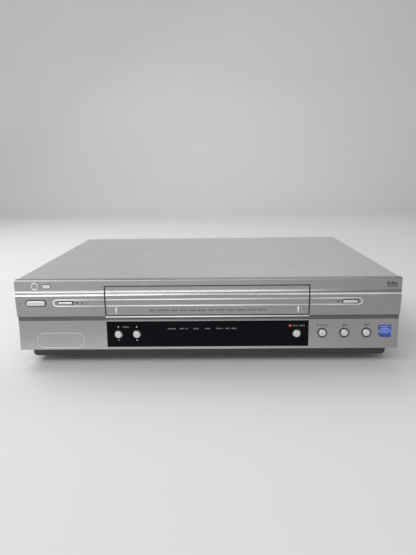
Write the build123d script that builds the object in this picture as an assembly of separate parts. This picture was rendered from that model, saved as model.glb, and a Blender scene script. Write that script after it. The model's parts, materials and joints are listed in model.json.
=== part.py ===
from build123d import *
import os
from math import atan2, cos, degrees, hypot, radians, sin, sqrt

# Front-loading video cassette recorder with a silver front and a swing-in cassette door.
# Millimetres, +Z up, X to the viewer's right, front face towards -Y.
# The origin is on the table under the middle of the whole machine.

# Overall size
WIDTH = 360.0
DEPTH = 270.0
HEIGHT = 86.0
SIDE_X = WIDTH / 2
FRONT_Y = -DEPTH / 2
BACK_Y = DEPTH / 2
JACK_PROUD = 6.0
COVER_BACK = BACK_Y - JACK_PROUD

# Clearances, and how far a cut runs past the faces it goes through
RUN_GAP = 0.3
SNUG = 0.05
CUT_OVER = 1.0

# Front moulding, as insets behind its foremost ridge and heights above the table
BEZEL_LOW = 17.7
BEZEL_WALL = 2.0
BEZEL_FLANGE = 8.0
BEZEL_TONGUE = 9.0
BOTTOM_FLANGE = 14.0
TOP_ROUND = 1.0
UPPER_INSET = 1.8
COVE_TOP = HEIGHT - 10.0
RIDGE_Z = HEIGHT - 15.2
RIDGE_STEP = 0.4
MID_HIGH_INSET = 0.6
MID_LOW_INSET = 1.4
STRIP_HIGH = HEIGHT - 35.2
STRIP_LOW = STRIP_HIGH - 4.6
GROOVE_INSET = 4.4
LOWER_TOP_INSET = 3.0
LOWER_TIP_INSET = 1.2
LOWER_SAG = 0.5
LOWER_MIDDLE = (BEZEL_LOW + STRIP_LOW) / 2

# Cassette door and its opening
OPENING_HALF = 96.0
OPENING_LOW = STRIP_HIGH + 0.2
OPENING_HIGH = HEIGHT - 6.2
DOOR_SIDE_GAP = 1.2
DOOR_TOP_GAP = 0.6
DOOR_LOW_GAP = 0.9
DOOR_WALL = 2.0
HINGE_INSET = 6.0
HINGE_Z = HEIGHT - 4.6
HINGE_PIN_R = 1.1
HINGE_EAR_R = 2.0
HINGE_BRACKET_W = 2.4
EAR_WIDTH = 2.5
EAR_ROOT = 0.5
EAR_SHOULDER = 0.4
LEDGE_INSET = 1.0
LEDGE_H = 1.6
TRACK_HALF = SIDE_X - 35.3
TRACK_Z = HEIGHT - 21.85
TRACK_H = 7.0
TRACK_LINE = 0.9
LINE_RELIEF = 0.35
TICK_X = OPENING_HALF - 10.7
TICK_Z = HEIGHT - 29.7
TICK_H = 6.2
TICK_W = 1.2
TICK_DEEP = 0.5

# Dark strip in the groove
STRIP_T = 1.1
STRIP_GAP = 0.2
STRIP_LOW_STEP = 0.8

# Black window
WINDOW_HALF = OPENING_HALF - 0.5
WINDOW_LOW = BEZEL_LOW + 2.2
WINDOW_HIGH = STRIP_LOW - 1.8
WINDOW_GAP = 0.4
WINDOW_TOP_GAP = 0.6
WINDOW_SINK = 0.5
WINDOW_T = 2.0
WINDOW_BEVEL = 0.8
WINDOW_RIM = 2.0

# Stadium-shaped emboss at the lower left of the front
PANEL_X = -(SIDE_X + WINDOW_HALF) / 2 - 2.45
PANEL_Z = BEZEL_LOW + 9.2
PANEL_W = 45.9
PANEL_H = 15.0
PANEL_LINE = 1.0

# Buttons, each as its place in X and Z and, for the long ones, its hole's width and height
BUTTON_GAP = 0.6
BUTTON_PROUD = 1.2
BUTTON_ROUND = 0.9
FLANGE_T = 1.2
FLANGE_OVER = 1.2
STEM_R = 1.8
STEM_REST_GAP = 1.0
ROUND_BUTTON_R = 3.5
ROUND_RING_R = 4.9
ROUND_RING_SINK = 0.9
ROUND_Z = LOWER_MIDDLE + 0.75
ROUND_FIRST_X = WINDOW_HALF + 13.4
ROUND_PITCH = (SIDE_X - ROUND_FIRST_X) * 0.2918
WINDOW_BUTTON_Z = LOWER_MIDDLE + 0.1
POWER_SIDE = 19.3
STOP_SIDE = 47.3
PLAY_SIDE = 46.7
PILL_BUTTONS = {
    "power_button": (-SIDE_X + POWER_SIDE, TRACK_Z - 0.05, 19.4, 6.3),
    "stop_eject_button": (-SIDE_X + STOP_SIDE, TRACK_Z + 0.05, 15.2, 3.8),
    "play_button": (SIDE_X - PLAY_SIDE, TRACK_Z - 0.25, 15.2, 4.3),
}
FRONT_ROUND_BUTTONS = {
    "pause_button": (ROUND_FIRST_X, ROUND_Z),
    "rewind_button": (ROUND_FIRST_X + ROUND_PITCH, ROUND_Z),
    "forward_button": (ROUND_FIRST_X + 2 * ROUND_PITCH, ROUND_Z),
}
WINDOW_ROUND_BUTTONS = {
    "channel_down_button": (-WINDOW_HALF + 10.6, WINDOW_BUTTON_Z),
    "channel_up_button": (-WINDOW_HALF + 28.2, WINDOW_BUTTON_Z),
    "record_button": (WINDOW_HALF - 10.7, WINDOW_BUTTON_Z),
}

# Front circuit board and what it carries
BOARD_T = 1.6
FRONT_BOARD_Y = FRONT_Y + 17.0
FRONT_BOARD_HALF = SIDE_X - 8.0
FRONT_BOARD_LOW = BEZEL_LOW + 2.8
FRONT_BOARD_MID = STRIP_LOW + 1.8
FRONT_BOARD_HIGH = HEIGHT - 10.0
FRONT_BOARD_WING = OPENING_HALF + 8.0
SWITCH_SIDE = 6.0
SWITCH_BODY_H = 2.6
SWITCH_NIB_H = 0.9
SWITCH_NIB_R = 1.5
DISPLAY_HALF = 44.0
DISPLAY_LOW = BEZEL_LOW + 4.8
DISPLAY_HIGH = STRIP_LOW - 4.7
DISPLAY_T = 6.0
DISPLAY_GLASS_T = 1.6
DISPLAY_GLASS_SIDE = 4.0
DISPLAY_GLASS_EDGE = 2.0
BOSS_R = 3.0
BOARD_BOSSES = (
    (WINDOW_HALF + 6.0, STRIP_LOW - 4.2),
    (SIDE_X - 12.0, STRIP_LOW - 4.2),
    (SIDE_X - 12.0, HEIGHT - 13.0),
)

# Sheet cover
COVER_T = 1.0
COVER_BEND_R = 2.0
COVER_LOW = 18.0
COVER_JOINT = 0.3
COVER_LIP_H = 11.0
SIDE_VENT_COUNT = 10
SIDE_VENT_PITCH = 7.0
SIDE_VENT_W = 3.0
SIDE_VENT_LOW = 34.0
SIDE_VENT_HIGH = HEIGHT - 24.0
SIDE_VENT_BACK = 15.0

# Moulded tray under everything
FOOT_H = 7.0
FOOT_R = 11.0
FOOT_TAPER = 1.0
FOOT_RIM = 3.0
FOOT_DISH = 1.0
FOOT_INSET_X = 28.0
FOOT_INSET_Y = 32.0
TRAY_T = 2.2
TRAY_INSET_X = 5.5
TRAY_FRONT_INSET = 11.5
TRAY_BACK_INSET = 2.0
TRAY_CORNER_R = 8.0
TRAY_EDGE_R = 1.8
SIDE_WALL_HIGH = 34.0
LEDGE_T = 1.8
FLOOR_SLOT_COUNT = 12
FLOOR_SLOT_PITCH = 9.0
FLOOR_SLOT_W = 3.0
FLOOR_SLOT_L = 34.0
FLOOR_SLOT_START = 65.0
FLOOR_SLOT_LEFT = 34.0
FLOOR_SLOT_RIGHT = 42.0
FLOOR_SLOT_ROWS = (-SIDE_X + FLOOR_SLOT_LEFT, SIDE_X - FLOOR_SLOT_RIGHT)
FLOOR_RIB_X = 62.0
FLOOR_RIB_H = 2.0

# Back plate
REAR_T = 1.6
REAR_HIGH = HEIGHT - 1.4
REAR_SCREW_Z = HEIGHT - 7.0
REAR_SCREW_SIDE = SIDE_X - 30.0
REAR_SCREW_L = 6.0
SCREW_R = 1.4
SCREW_HEAD_R = 3.0
SCREW_HEAD_H = 1.8
REAR_VENT_COUNT = 12
REAR_VENT_PITCH = 7.0
REAR_VENT_W = 3.0
REAR_VENT_H = 22.0
REAR_VENT_X = -70.0
REAR_VENT_Z = HEIGHT - 26.0

# Tuner, sockets and mains inlet on the back
TUNER_HALF_W = 20.0
TUNER_D = 62.0
TUNER_TOP = HEIGHT - 14.0
TUNER_ROUND = 1.5
AERIAL_SIDE = 39.0
AERIAL_X = SIDE_X - AERIAL_SIDE
AERIAL_Z = (TUNER_TOP - 32.0, TUNER_TOP - 11.0)
AERIAL_R = 4.75
AERIAL_COLLAR_R = 6.0
AERIAL_BORE_R = 1.5
AV_X = (62.0, 77.0, 92.0)
AV_Z = (38.0, 54.0)
AV_R = 4.15
AV_COLLAR_R = 5.2
AV_BORE_R = 1.7
AV_SHORT = 1.0
AV_BLOCK_D = 12.0
AV_BLOCK_EDGE = 8.0
SOCKET_COLLAR_PROUD = 0.6
SOCKET_NECK_L = 0.5
SOCKET_NECK_STEP = 0.4
SOCKET_BORE_DEEP = 6.0
INLET_X = -SIDE_X + 30.0
INLET_Z = 34.0
INLET_W = 22.0
INLET_H = 11.0
INLET_D = 20.0
INLET_WALL = 1.5
INLET_DEEP = 14.0
INLET_PROUD = 1.0
INLET_PIN_R = 1.2
INLET_PIN_HALF = 4.3
INLET_PIN_SHORT = 3.0
INLET_FOOT_D = 6.0

# Main circuit board
MAIN_BOARD_Z = 12.5
MAIN_BOARD_HALF = SIDE_X - 12.0
MAIN_BOARD_FRONT = FRONT_Y + 27.0
MAIN_BOARD_BACK = BACK_Y - 15.0
STANDOFF_R = 3.0
STANDOFF_SIDE = 6.0
STANDOFF_END = 10.0

# Tape deck. Places on the deck are measured from DECK_Y, a fixed way behind the front.
DECK_SETBACK = 135.0
DECK_Y = FRONT_Y + DECK_SETBACK
DECK_TOP = 28.0
DECK_T = 1.6
DECK_HALF = 104.0
DECK_FRONT = -112.0
DECK_BACK = 84.0
DECK_CORNER_R = 5.0
DECK_PILLARS = ((-92.0, -84.0), (92.0, -84.0), (-92.0, 76.0), (92.0, 76.0))
DECK_SCREW_L = 8.0
PILLAR_R = 4.0
PILLAR_CLEAR = 0.5
PIN_CLEAR = 1.0

# Electronics in the two bays beside the deck, as shares of the way from deck to side
BAY_W = SIDE_X - DECK_HALF
TRANSFORMER_X = -DECK_HALF - 0.553 * BAY_W
TRANSFORMER_Y = 36.0
CORE_W = BAY_W - 30.0
CORE_D = 20.0
CORE_H = 40.0
COIL_W = CORE_W - 17.5
COIL_D = 38.0
COIL_H = 25.0
COIL_ROUND = 4.0
SINK_X = TRANSFORMER_X
SINK_Y = -18.0
SINK_W = BAY_W - 24.0
SINK_FINS = 7
SINK_FIN_L = 16.0
SINK_FIN_T = 1.6
SINK_BASE_T = 3.0
SINK_H = 40.0
CAPACITOR_ROUND = 0.6
CAPACITORS = (
    (-0.32, 92.0, 9.0, 36.0),
    (-0.63, -62.0, 8.0, 30.0),
    (-0.34, -62.0, 6.0, 22.0),
    (-0.16, -84.0, 5.0, 18.0),
    (-0.74, -84.0, 5.0, 16.0),
    (0.26, -20.0, 5.0, 16.0),
    (0.50, -20.0, 4.0, 13.0),
    (0.71, -4.0, 4.0, 13.0),
)
CHIPS = (
    (0.45, 20.0, 28.0, 28.0),
    (0.61, -62.0, 20.0, 14.0),
    (0.24, -74.0, 14.0, 22.0),
    (0.61, -86.0, 24.0, 10.0),
    (0.14, 42.0, 14.0, 10.0),
)
CHIP_H = 3.2

# Cassette and the cage that carries it
CASSETTE_HALF = 94.0
CASSETTE_H = 25.0
CASSETTE_EJECT_Z = OPENING_LOW - 0.5
CASSETTE_PLAY_Z = 33.0
CARRIAGE_TRAVEL = 62.0
HOLDER_DROP = CASSETTE_EJECT_Z - CASSETTE_PLAY_Z
HOLDER_FRONT = -109.0
HOLDER_BACK = -64.0
HOLDER_T = 1.2
HOLDER_SIDE_GAP = 1.3
HOLDER_RAIL = 13.0
HOLDER_HEAD_GAP = 0.3
HOLDER_PLATE_FRONT = -97.0
HOLDER_PIN_R = 1.5
HOLDER_PIN_Y = (-102.0, -72.0)
HOLDER_PIN_Z = CASSETTE_EJECT_Z + 19.5
HOLDER_WINDOW_X = (-56.0, 0.0, 56.0)
HOLDER_WINDOW_HALF = 18.0
HOLDER_WINDOW_EDGE = 8.0
HOLDER_WINDOW_R = 3.0
SLIDER_X = 97.7
SLIDER_T = 1.6
SLIDER_LOW = CASSETTE_PLAY_Z + 15.0
SLIDER_HIGH = HEIGHT - 5.4
SLIDER_PIN_Z = HEIGHT - 9.6
SLIDER_PIN_R = 1.5
SLIDER_PIN_OUT = 1.0
TIE_W = 5.0
TIE_GAP = 0.8
BRACKET_X = 100.0
BRACKET_T = 1.4
BRACKET_FRONT = -112.0
BRACKET_BACK = 4.0
BRACKET_HIGH = HEIGHT - 4.4
BRACKET_ROUND = 4.0
BRACKET_FOOT = 6.0
BRACKET_FOOT_END = 4.0
BRACKET_HOLE_END = 18.0
BRACKET_HOLE_LOW = 12.0
BRACKET_HOLE_HIGH = 14.0

# Head drum
DRUM_X = 0.0
DRUM_Y = 42.0
DRUM_R = 31.0
DRUM_TILT = 5.0
DRUM_LOW = 31.5
DRUM_SPLIT = 46.0
DRUM_HIGH = 62.0
DRUM_SPLIT_GAP = 0.4
DRUM_BASE_R = 25.0
DRUM_BASE_RISE = 2.0
DRUM_SHAFT_R = 2.5
DRUM_LEAD_H = 6.0
DRUM_LEAD_PROUD = 0.4
DRUM_RIM_W = 7.0
DRUM_HOLLOW_DEEP = 6.0
DRUM_HUB_R = 7.0
DRUM_HUB_PROUD = 2.0
HEAD_SLOT_ANGLES = (0.0, 90.0, 180.0, 270.0)
HEAD_SLOT_DEEP = 3.0
HEAD_SLOT_W = 5.0
HEAD_SLOT_H = 3.0

# Reels
REEL_X = 46.0
REEL_Y = -64.5
REEL_R = 25.0
REEL_TOOTH = 1.6
REEL_TEETH = 40
REEL_LOW = 29.4
REEL_DISC_T = 3.0
REEL_HUB_R = 8.5
REEL_HUB_TOP = 46.0
REEL_CONE_H = 3.0
REEL_SPLINES = 6
REEL_SPLINE_OUT = 2.0
REEL_SPLINE_W = 2.0
REEL_SPLINE_SHORT = 4.0
REEL_PIN_R = 2.0
REEL_PIN_TOP = 43.0
REEL_PIN_HEAD_GAP = 0.5
REEL_SEAT_W = 2.0

# Tooth outline over one pitch: share of the pitch, and share of the tooth's height
TOOTH_SHAPE = ((0.3, 0.0), (0.45, 1.0), (0.7, 1.0), (0.85, 0.0))

# Idler between the reels
IDLER_PIVOT_Y = -50.0
IDLER_REACH = 17.0
IDLER_R = 10.0
IDLER_TEETH = 16
IDLER_ARM_T = 1.2
IDLER_PIN_R = 1.5

# Levers and their pivots
PIVOT_R = 2.0
ARM_T = 1.5
ARM_HALF = 3.5
PIVOT_HIGH = DECK_TOP + 4 * ARM_T

# Capstan and pinch roller
CAPSTAN_X = 58.0
CAPSTAN_Y = 0.0
CAPSTAN_R = 1.5
CAPSTAN_TOP = 52.0
FLYWHEEL_R = 20.0
FLYWHEEL_LOW = 18.0
FLYWHEEL_T = 5.0
FLYWHEEL_RIM = 3.0
FLYWHEEL_WEB = 3.0
STATOR_LOW = 14.6
STATOR_T = 1.6
STATOR_R = 27.0
STATOR_POST_R = 2.5
STATOR_POST_EDGE = 3.0
STATOR_POST_ANGLES = (30.0, 150.0, 270.0)
BEARING_R = 4.5
BEARING_TOP = 34.0
BEARING_FLANGE = 3.0
BEARING_FLANGE_T = 1.5
BEARING_UNDER = 1.0
PINCH_PIVOT_X = 80.0
PINCH_PIVOT_Y = 14.0
PINCH_REACH = 18.4
PINCH_REST_DEG = 165.0
PINCH_R = 6.0
PINCH_LOW = 36.0
PINCH_HIGH = 50.0

# Tape guides that draw the tape round the drum
GUIDE_ARC_X = 12.0
GUIDE_ARC_Y = 20.0
GUIDE_ARC_R = 60.0
GUIDE_START_DEG = 217.6
GUIDE_SWEEP_DEG = 70.0
GUIDE_SLOT_W = 4.0
GUIDE_SLOT_END_DEG = 3.0
GUIDE_BASE_L = 13.0
GUIDE_BASE_W = 9.0
GUIDE_BASE_H = 5.0
GUIDE_BASE_ROUND = 2.0
GUIDE_KEEL_DEEP = 1.5
GUIDE_KEEL_LIP = 1.0
GUIDE_ROLLER_R = 3.0
GUIDE_ROLLER_END = 3.0
GUIDE_CORE_STEP = 1.0
GUIDE_CAP_T = 2.0
GUIDE_CAP_STEP = 0.8
GUIDE_TOP = 52.0

# Loading motor, worm and cam gear
CAM_X = -73.0
CAM_Y = 22.0
CAM_R = 18.0
CAM_TEETH = 32
CAM_TOOTH = 1.8
CAM_LOW = 29.0
CAM_RING_LOW = 37.0
CAM_HIGH = 43.0
CAM_HUB_STEP = 4.0
CAM_DISH_DEEP = 2.0
CAM_DISH_RIM = 2.0
CAM_BOSS_R = 6.0
WORM_R = 3.4
WORM_CORE_R = 2.0
WORM_HALF = 7.0
WORM_PITCH = 3.2
WORM_MESH_GAP = 0.4
MOTOR_R = 9.5
MOTOR_L = 22.0
MOTOR_NOSE_R = 3.0
MOTOR_SHAFT_R = 1.0
MOTOR_SHAFT_OUT = 2.0
MOTOR_CLEAR = 1.5
CRADLE_END = 3.0
CRADLE_SIDE = 1.0

# Tension arm, brakes, heads and posts
TENSION_PIVOT_X = -68.0
TENSION_PIVOT_Y = -6.0
TENSION_REACH = 17.0
TENSION_REST_DEG = -38.0
BRAKE_PIVOT_X = 16.0
BRAKE_PIVOT_Y = -28.0
BRAKE_PAD_R = 2.5
BRAKE_PAD_GAP = 0.4
BRAKE_PAD_TURN = 14.0
ERASE_X = -58.0
ERASE_Y = 56.0
AC_X = 62.0
AC_Y = 40.0
HEAD_W = 12.0
HEAD_D = 8.0
HEAD_HIGH = 51.0
HEAD_BASE_R = 6.5
HEAD_BASE_T = 3.0
HEAD_ROUND = 2.5
POSTS = ((-34.0, 76.0), (40.0, 76.0), (74.0, -6.0))
POST_R = 2.2
POST_TOP = 51.0
POST_FOOT_STEP = 2.0
POST_FOOT_H = 4.0
POST_FLANGE_STEP = 1.0
POST_FLANGE_H = 2.0

# Faces that several pieces share
BOX_BACK = FRONT_Y + BEZEL_FLANGE + BEZEL_TONGUE
TRAY_HALF = SIDE_X - TRAY_INSET_X
TRAY_FRONT = FRONT_Y + TRAY_FRONT_INSET
TRAY_BACK = COVER_BACK - TRAY_BACK_INSET
INNER_HALF = SIDE_X - COVER_T - COVER_JOINT
BOARD_TOP = MAIN_BOARD_Z + BOARD_T
FLOOR_TOP = FOOT_H + TRAY_T
REAR_Y = TRAY_BACK - REAR_T
MODULE_BACK = TRAY_BACK - TRAY_T - RUN_GAP
SWITCH_TIP_Y = FRONT_BOARD_Y - SWITCH_BODY_H - SWITCH_NIB_H
DECK_UNDER = DECK_TOP - DECK_T
ARM_LOW = DECK_TOP + RUN_GAP
REAR_SCREW_X = (-REAR_SCREW_SIDE, 0.0, REAR_SCREW_SIDE)


# Small shapes placed by their corners or centre lines

def block(x0, x1, y0, y1, z0, z1):
    """A box between two opposite corners."""
    return Pos((x0 + x1) / 2, (y0 + y1) / 2, (z0 + z1) / 2) * Box(x1 - x0, y1 - y0, z1 - z0)


def upright(x, y, z0, z1, radius):
    """A round bar standing along Z."""
    return Pos(x, y, (z0 + z1) / 2) * Cylinder(radius, z1 - z0)


def rod_y(x, z, y0, y1, radius):
    """A round bar lying along Y."""
    return Pos(x, (y0 + y1) / 2, z) * Rot(90, 0, 0) * Cylinder(radius, y1 - y0)


def rod_x(y, z, x0, x1, radius):
    """A round bar lying along X."""
    return Pos((x0 + x1) / 2, y, z) * Rot(0, 90, 0) * Cylinder(radius, x1 - x0)


def pill(x, z, width, height, y0, y1):
    """A stadium outline in the XZ plane, drawn out along Y."""
    face = Plane((x, y0, z), x_dir=(1, 0, 0), z_dir=(0, 1, 0)) * SlotOverall(width, height)
    return extrude(face, y1 - y0)


def drilled(x, y, z0, z1, radius):
    """A cutter for an upright hole through the faces at two heights."""
    return upright(x, y, z0 - CUT_OVER, z1 + CUT_OVER, radius)


def mirrored(shape):
    """A shape and its mirror image across the middle of the machine."""
    return shape + mirror(shape, Plane.YZ)


def polar(x, y, reach, angle):
    """The point at a distance and a plan angle in degrees from a centre."""
    return x + reach * cos(radians(angle)), y + reach * sin(radians(angle))


def mirror_x(side, point):
    """A plan point as it stands for side 1, or mirrored for side -1."""
    return side * point[0], point[1]


def arm_outline(x0, y0, x1, y1, half):
    """A flat lever outline with round ends about two centres."""
    length = hypot(x1 - x0, y1 - y0)
    angle = degrees(atan2(y1 - y0, x1 - x0))
    return Pos((x0 + x1) / 2, (y0 + y1) / 2) * Rot(0, 0, angle) * SlotCenterToCenter(length, 2 * half)


def flat_arm(x0, y0, x1, y1, half, low, thick):
    """A flat lever with round ends."""
    return extrude(Pos(0, 0, low) * arm_outline(x0, y0, x1, y1, half), thick)


def gear(teeth, tip_r, tooth, low, high):
    """A spur gear about the Z axis, with straight-sided teeth."""
    root_r = tip_r - tooth
    pitch = 360 / teeth
    points = []
    for index in range(teeth):
        for share, rise in TOOTH_SHAPE:
            points.append(polar(0, 0, root_r + rise * tooth, (index + share) * pitch))
    return extrude(Pos(0, 0, low) * make_face(Polyline(*points, close=True)), high - low)


# Front moulding

def lower_inset(z):
    """How far the lower face lies behind the ridge at a height."""
    share = (z - BEZEL_LOW) / (STRIP_LOW - BEZEL_LOW)
    chord = LOWER_TIP_INSET + share * (LOWER_TOP_INSET - LOWER_TIP_INSET)
    return chord + 4 * LOWER_SAG * share * (1 - share)


def mid_inset(z):
    """How far the middle face lies behind the ridge at a height."""
    share = (z - STRIP_HIGH) / (RIDGE_Z - RIDGE_STEP - STRIP_HIGH)
    return MID_LOW_INSET + share * (MID_HIGH_INSET - MID_LOW_INSET)


def front_solid(inset, half_width, low, high, back):
    """Everything behind the stepped front outline, set back by an inset and cut to a window."""
    y = FRONT_Y + inset
    upper_y = y + UPPER_INSET
    tip = (y + LOWER_TIP_INSET, BEZEL_LOW)
    lower_middle = (y + lower_inset(LOWER_MIDDLE), LOWER_MIDDLE)
    lower_top = (y + LOWER_TOP_INSET, STRIP_LOW)
    ridge = (y, RIDGE_Z)
    cove_top = (upper_y, COVE_TOP)
    round_start = (upper_y, HEIGHT - TOP_ROUND)
    round_end = (upper_y + TOP_ROUND, HEIGHT)
    round_off = TOP_ROUND * (1 - sqrt(0.5))
    outline = Curve() + [
        ThreePointArc(tip, lower_middle, lower_top),
        Polyline(
            lower_top,
            (y + GROOVE_INSET, STRIP_LOW),
            (y + GROOVE_INSET, STRIP_HIGH),
            (y + MID_LOW_INSET, STRIP_HIGH),
            (y + MID_HIGH_INSET, RIDGE_Z - RIDGE_STEP),
            ridge,
        ),
        TangentArc(cove_top, ridge, tangent=(0, -1)),
        Line(cove_top, round_start),
        ThreePointArc(round_start, (upper_y + round_off, HEIGHT - round_off), round_end),
        Polyline(round_end, (back, HEIGHT), (back, BEZEL_LOW), tip),
    ]
    solid = extrude(Plane.YZ * make_face(outline), half_width, both=True)
    return solid & block(-half_width, half_width, FRONT_Y - CUT_OVER, back, low, high)


def raised_line(half, low, high, x, z, width, height, line):
    """A stadium-shaped line that stands proud of the front and is rooted in its wall."""
    back = FRONT_Y + GROOVE_INSET + BEZEL_WALL
    skin = front_solid(-LINE_RELIEF, half, low, high, back)
    skin -= front_solid(BEZEL_WALL / 2, half, low, high, back)
    ring = pill(x, z, width, height, FRONT_Y - CUT_OVER, back)
    ring -= pill(x, z, width - 2 * line, height - 2 * line, FRONT_Y - CUT_OVER, back)
    return skin & ring


def button_holes():
    """Every hole that a button passes through in the moulding."""
    front = FRONT_Y - CUT_OVER
    back = FRONT_Y + GROOVE_INSET + 2 * BEZEL_WALL
    holes = Part()
    for x, z, width, height in PILL_BUTTONS.values():
        holes += pill(x, z, width, height, front, back)
    for x, z in FRONT_ROUND_BUTTONS.values():
        holes += rod_y(x, z, front, back, ROUND_BUTTON_R + BUTTON_GAP)
        holes += rod_y(x, z, front, FRONT_Y + lower_inset(z) + ROUND_RING_SINK, ROUND_RING_R)
    return holes


def hinge_brackets():
    """Lugs inside the moulding that hold the door's pins, one at each side."""
    x0 = OPENING_HALF + RUN_GAP
    x1 = x0 + HINGE_BRACKET_W
    y0 = FRONT_Y + UPPER_INSET + BEZEL_WALL
    y1 = FRONT_Y + HINGE_INSET + HINGE_EAR_R + HINGE_PIN_R
    lug = block(x0, x1, y0, y1, HINGE_Z - 2 * HINGE_EAR_R, HEIGHT - BEZEL_WALL)
    bore = rod_x(FRONT_Y + HINGE_INSET, HINGE_Z, x0, x1, HINGE_PIN_R + SNUG)
    return mirrored(lug - bore)


def board_bosses():
    """Bosses that reach back from the front wall to the front circuit board."""
    bosses = Part()
    for x, z in BOARD_BOSSES:
        inset = lower_inset(z) if z < STRIP_LOW else UPPER_INSET
        start = FRONT_Y + inset + BEZEL_WALL / 2
        bosses += mirrored(rod_y(x, z, start, FRONT_BOARD_Y, BOSS_R))
    return bosses


def door_ledge():
    """The ledge under the door opening, which narrows the groove there."""
    return block(
        -OPENING_HALF, OPENING_HALF, FRONT_Y + LEDGE_INSET, FRONT_Y + GROOVE_INSET,
        OPENING_LOW - LEDGE_H, STRIP_HIGH,
    )


def front_bezel():
    """The silver front as one moulded shell with its openings."""
    joint = COVER_T + COVER_JOINT
    inner_half = SIDE_X - joint
    inner_top = HEIGHT - joint - BEZEL_WALL / 2
    flange_y = FRONT_Y + BEZEL_FLANGE
    bottom_y = FRONT_Y + BOTTOM_FLANGE
    front = FRONT_Y - CUT_OVER
    shell = front_solid(0, SIDE_X, BEZEL_LOW, HEIGHT, bottom_y)
    shell -= front_solid(
        BEZEL_WALL, inner_half - BEZEL_WALL, BEZEL_LOW + BEZEL_WALL, inner_top, BOX_BACK
    )
    outer_step = block(-SIDE_X, SIDE_X, flange_y, BOX_BACK, BEZEL_LOW, HEIGHT)
    shell -= outer_step - block(
        -inner_half, inner_half, FRONT_Y, BOX_BACK + CUT_OVER, BEZEL_LOW - CUT_OVER, HEIGHT - joint
    )
    shell += block(-inner_half, inner_half, bottom_y, BOX_BACK, inner_top, HEIGHT - joint)
    shell += raised_line(
        SIDE_X, BEZEL_LOW, HEIGHT, 0, TRACK_Z, 2 * TRACK_HALF, TRACK_H, TRACK_LINE
    )
    shell += raised_line(
        SIDE_X, BEZEL_LOW, HEIGHT, PANEL_X, PANEL_Z, PANEL_W, PANEL_H, PANEL_LINE
    )
    shell += door_ledge()
    shell -= block(-OPENING_HALF, OPENING_HALF, front, flange_y, OPENING_LOW, OPENING_HIGH)
    window_half = WINDOW_HALF + WINDOW_GAP
    shell -= block(
        -window_half, window_half, front, flange_y, WINDOW_LOW, WINDOW_HIGH + WINDOW_TOP_GAP
    )
    shell -= button_holes()
    return shell + hinge_brackets() + board_bosses()


def trim_strip():
    """The dark strip laid in the groove, lower in height under the door."""
    back = FRONT_Y + GROOVE_INSET
    clear = OPENING_HALF + STRIP_GAP
    cut_front = back - STRIP_T - CUT_OVER
    cut_back = back + CUT_OVER
    strip = block(
        -SIDE_X, SIDE_X, back - STRIP_T, back, STRIP_LOW + STRIP_GAP, STRIP_HIGH - STRIP_GAP
    )
    ledge_low = OPENING_LOW - LEDGE_H - STRIP_GAP
    strip -= block(-clear, clear, cut_front, cut_back, ledge_low, STRIP_HIGH)
    return strip - block(
        -clear, clear, cut_front, cut_back, STRIP_LOW, STRIP_LOW + STRIP_LOW_STEP
    )


def display_window():
    """The black window panel with a rim behind the moulding and three button holes."""
    back = FRONT_Y + BOTTOM_FLANGE
    inner = WINDOW_SINK + WINDOW_T
    rim_half = WINDOW_HALF + WINDOW_RIM
    panel = front_solid(WINDOW_SINK, WINDOW_HALF, WINDOW_LOW + WINDOW_GAP / 2, WINDOW_HIGH, back)
    panel -= front_solid(inner, WINDOW_HALF, BEZEL_LOW, STRIP_LOW, back)
    top_edges = panel.faces().sort_by(Axis.Z)[-1].edges()
    panel = chamfer(top_edges.sort_by(Axis.Y)[0], WINDOW_BEVEL)
    rim = front_solid(
        BEZEL_WALL + SNUG, rim_half, BEZEL_LOW + BEZEL_WALL + SNUG, STRIP_LOW - SNUG, back
    )
    panel += rim - front_solid(inner, rim_half, BEZEL_LOW, STRIP_LOW, back)
    for x, z in WINDOW_ROUND_BUTTONS.values():
        panel -= rod_y(x, z, FRONT_Y - CUT_OVER, back, ROUND_BUTTON_R + BUTTON_GAP)
    return panel


# Cassette door

def door_ear(half, high):
    """One ear that carries a hinge pin behind the wall above the opening."""
    axis_y = FRONT_Y + HINGE_INSET
    ear_front = axis_y - HINGE_EAR_R
    foot_y = FRONT_Y + UPPER_INSET + DOOR_WALL - EAR_ROOT
    ear = rod_x(axis_y, HINGE_Z, half - EAR_WIDTH, half, HINGE_EAR_R)
    web = Plane.YZ.offset(half - EAR_WIDTH) * make_face(Polyline(
        (foot_y, COVE_TOP),
        (foot_y, high),
        (ear_front, high + EAR_SHOULDER),
        (ear_front, HINGE_Z),
        (axis_y + HINGE_EAR_R, HINGE_Z),
        close=True,
    ))
    pin_end = OPENING_HALF + RUN_GAP + HINGE_BRACKET_W
    return ear + extrude(web, EAR_WIDTH) + rod_x(axis_y, HINGE_Z, half, pin_end, HINGE_PIN_R)


def cassette_door():
    """The hinged door: a curved front plate, two ears and two pins."""
    half = OPENING_HALF - DOOR_SIDE_GAP
    low = OPENING_LOW + DOOR_LOW_GAP
    high = OPENING_HIGH - DOOR_TOP_GAP
    back = FRONT_Y + BEZEL_FLANGE
    door = front_solid(0, half, low, high, back) - front_solid(DOOR_WALL, half, low, high, back)
    door += raised_line(half, low, high, 0, TRACK_Z, 2 * TRACK_HALF, TRACK_H, TRACK_LINE)
    face = FRONT_Y + mid_inset(TICK_Z)
    door -= mirrored(block(
        TICK_X - TICK_W / 2, TICK_X + TICK_W / 2, face - CUT_OVER, face + TICK_DEEP,
        TICK_Z - TICK_H / 2, TICK_Z + TICK_H / 2,
    ))
    return door + mirrored(door_ear(half, high))


# Buttons

def push_button(cap, flange, x, z, wall_back):
    """A button: a rounded cap, a flange behind the wall and a stem towards its switch."""
    front_edges = cap.faces().sort_by(Axis.Y)[0].edges()
    cap = fillet(front_edges, BUTTON_ROUND)
    stem = rod_y(x, z, wall_back + RUN_GAP, SWITCH_TIP_Y - STEM_REST_GAP, STEM_R)
    return cap + flange + stem


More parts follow.
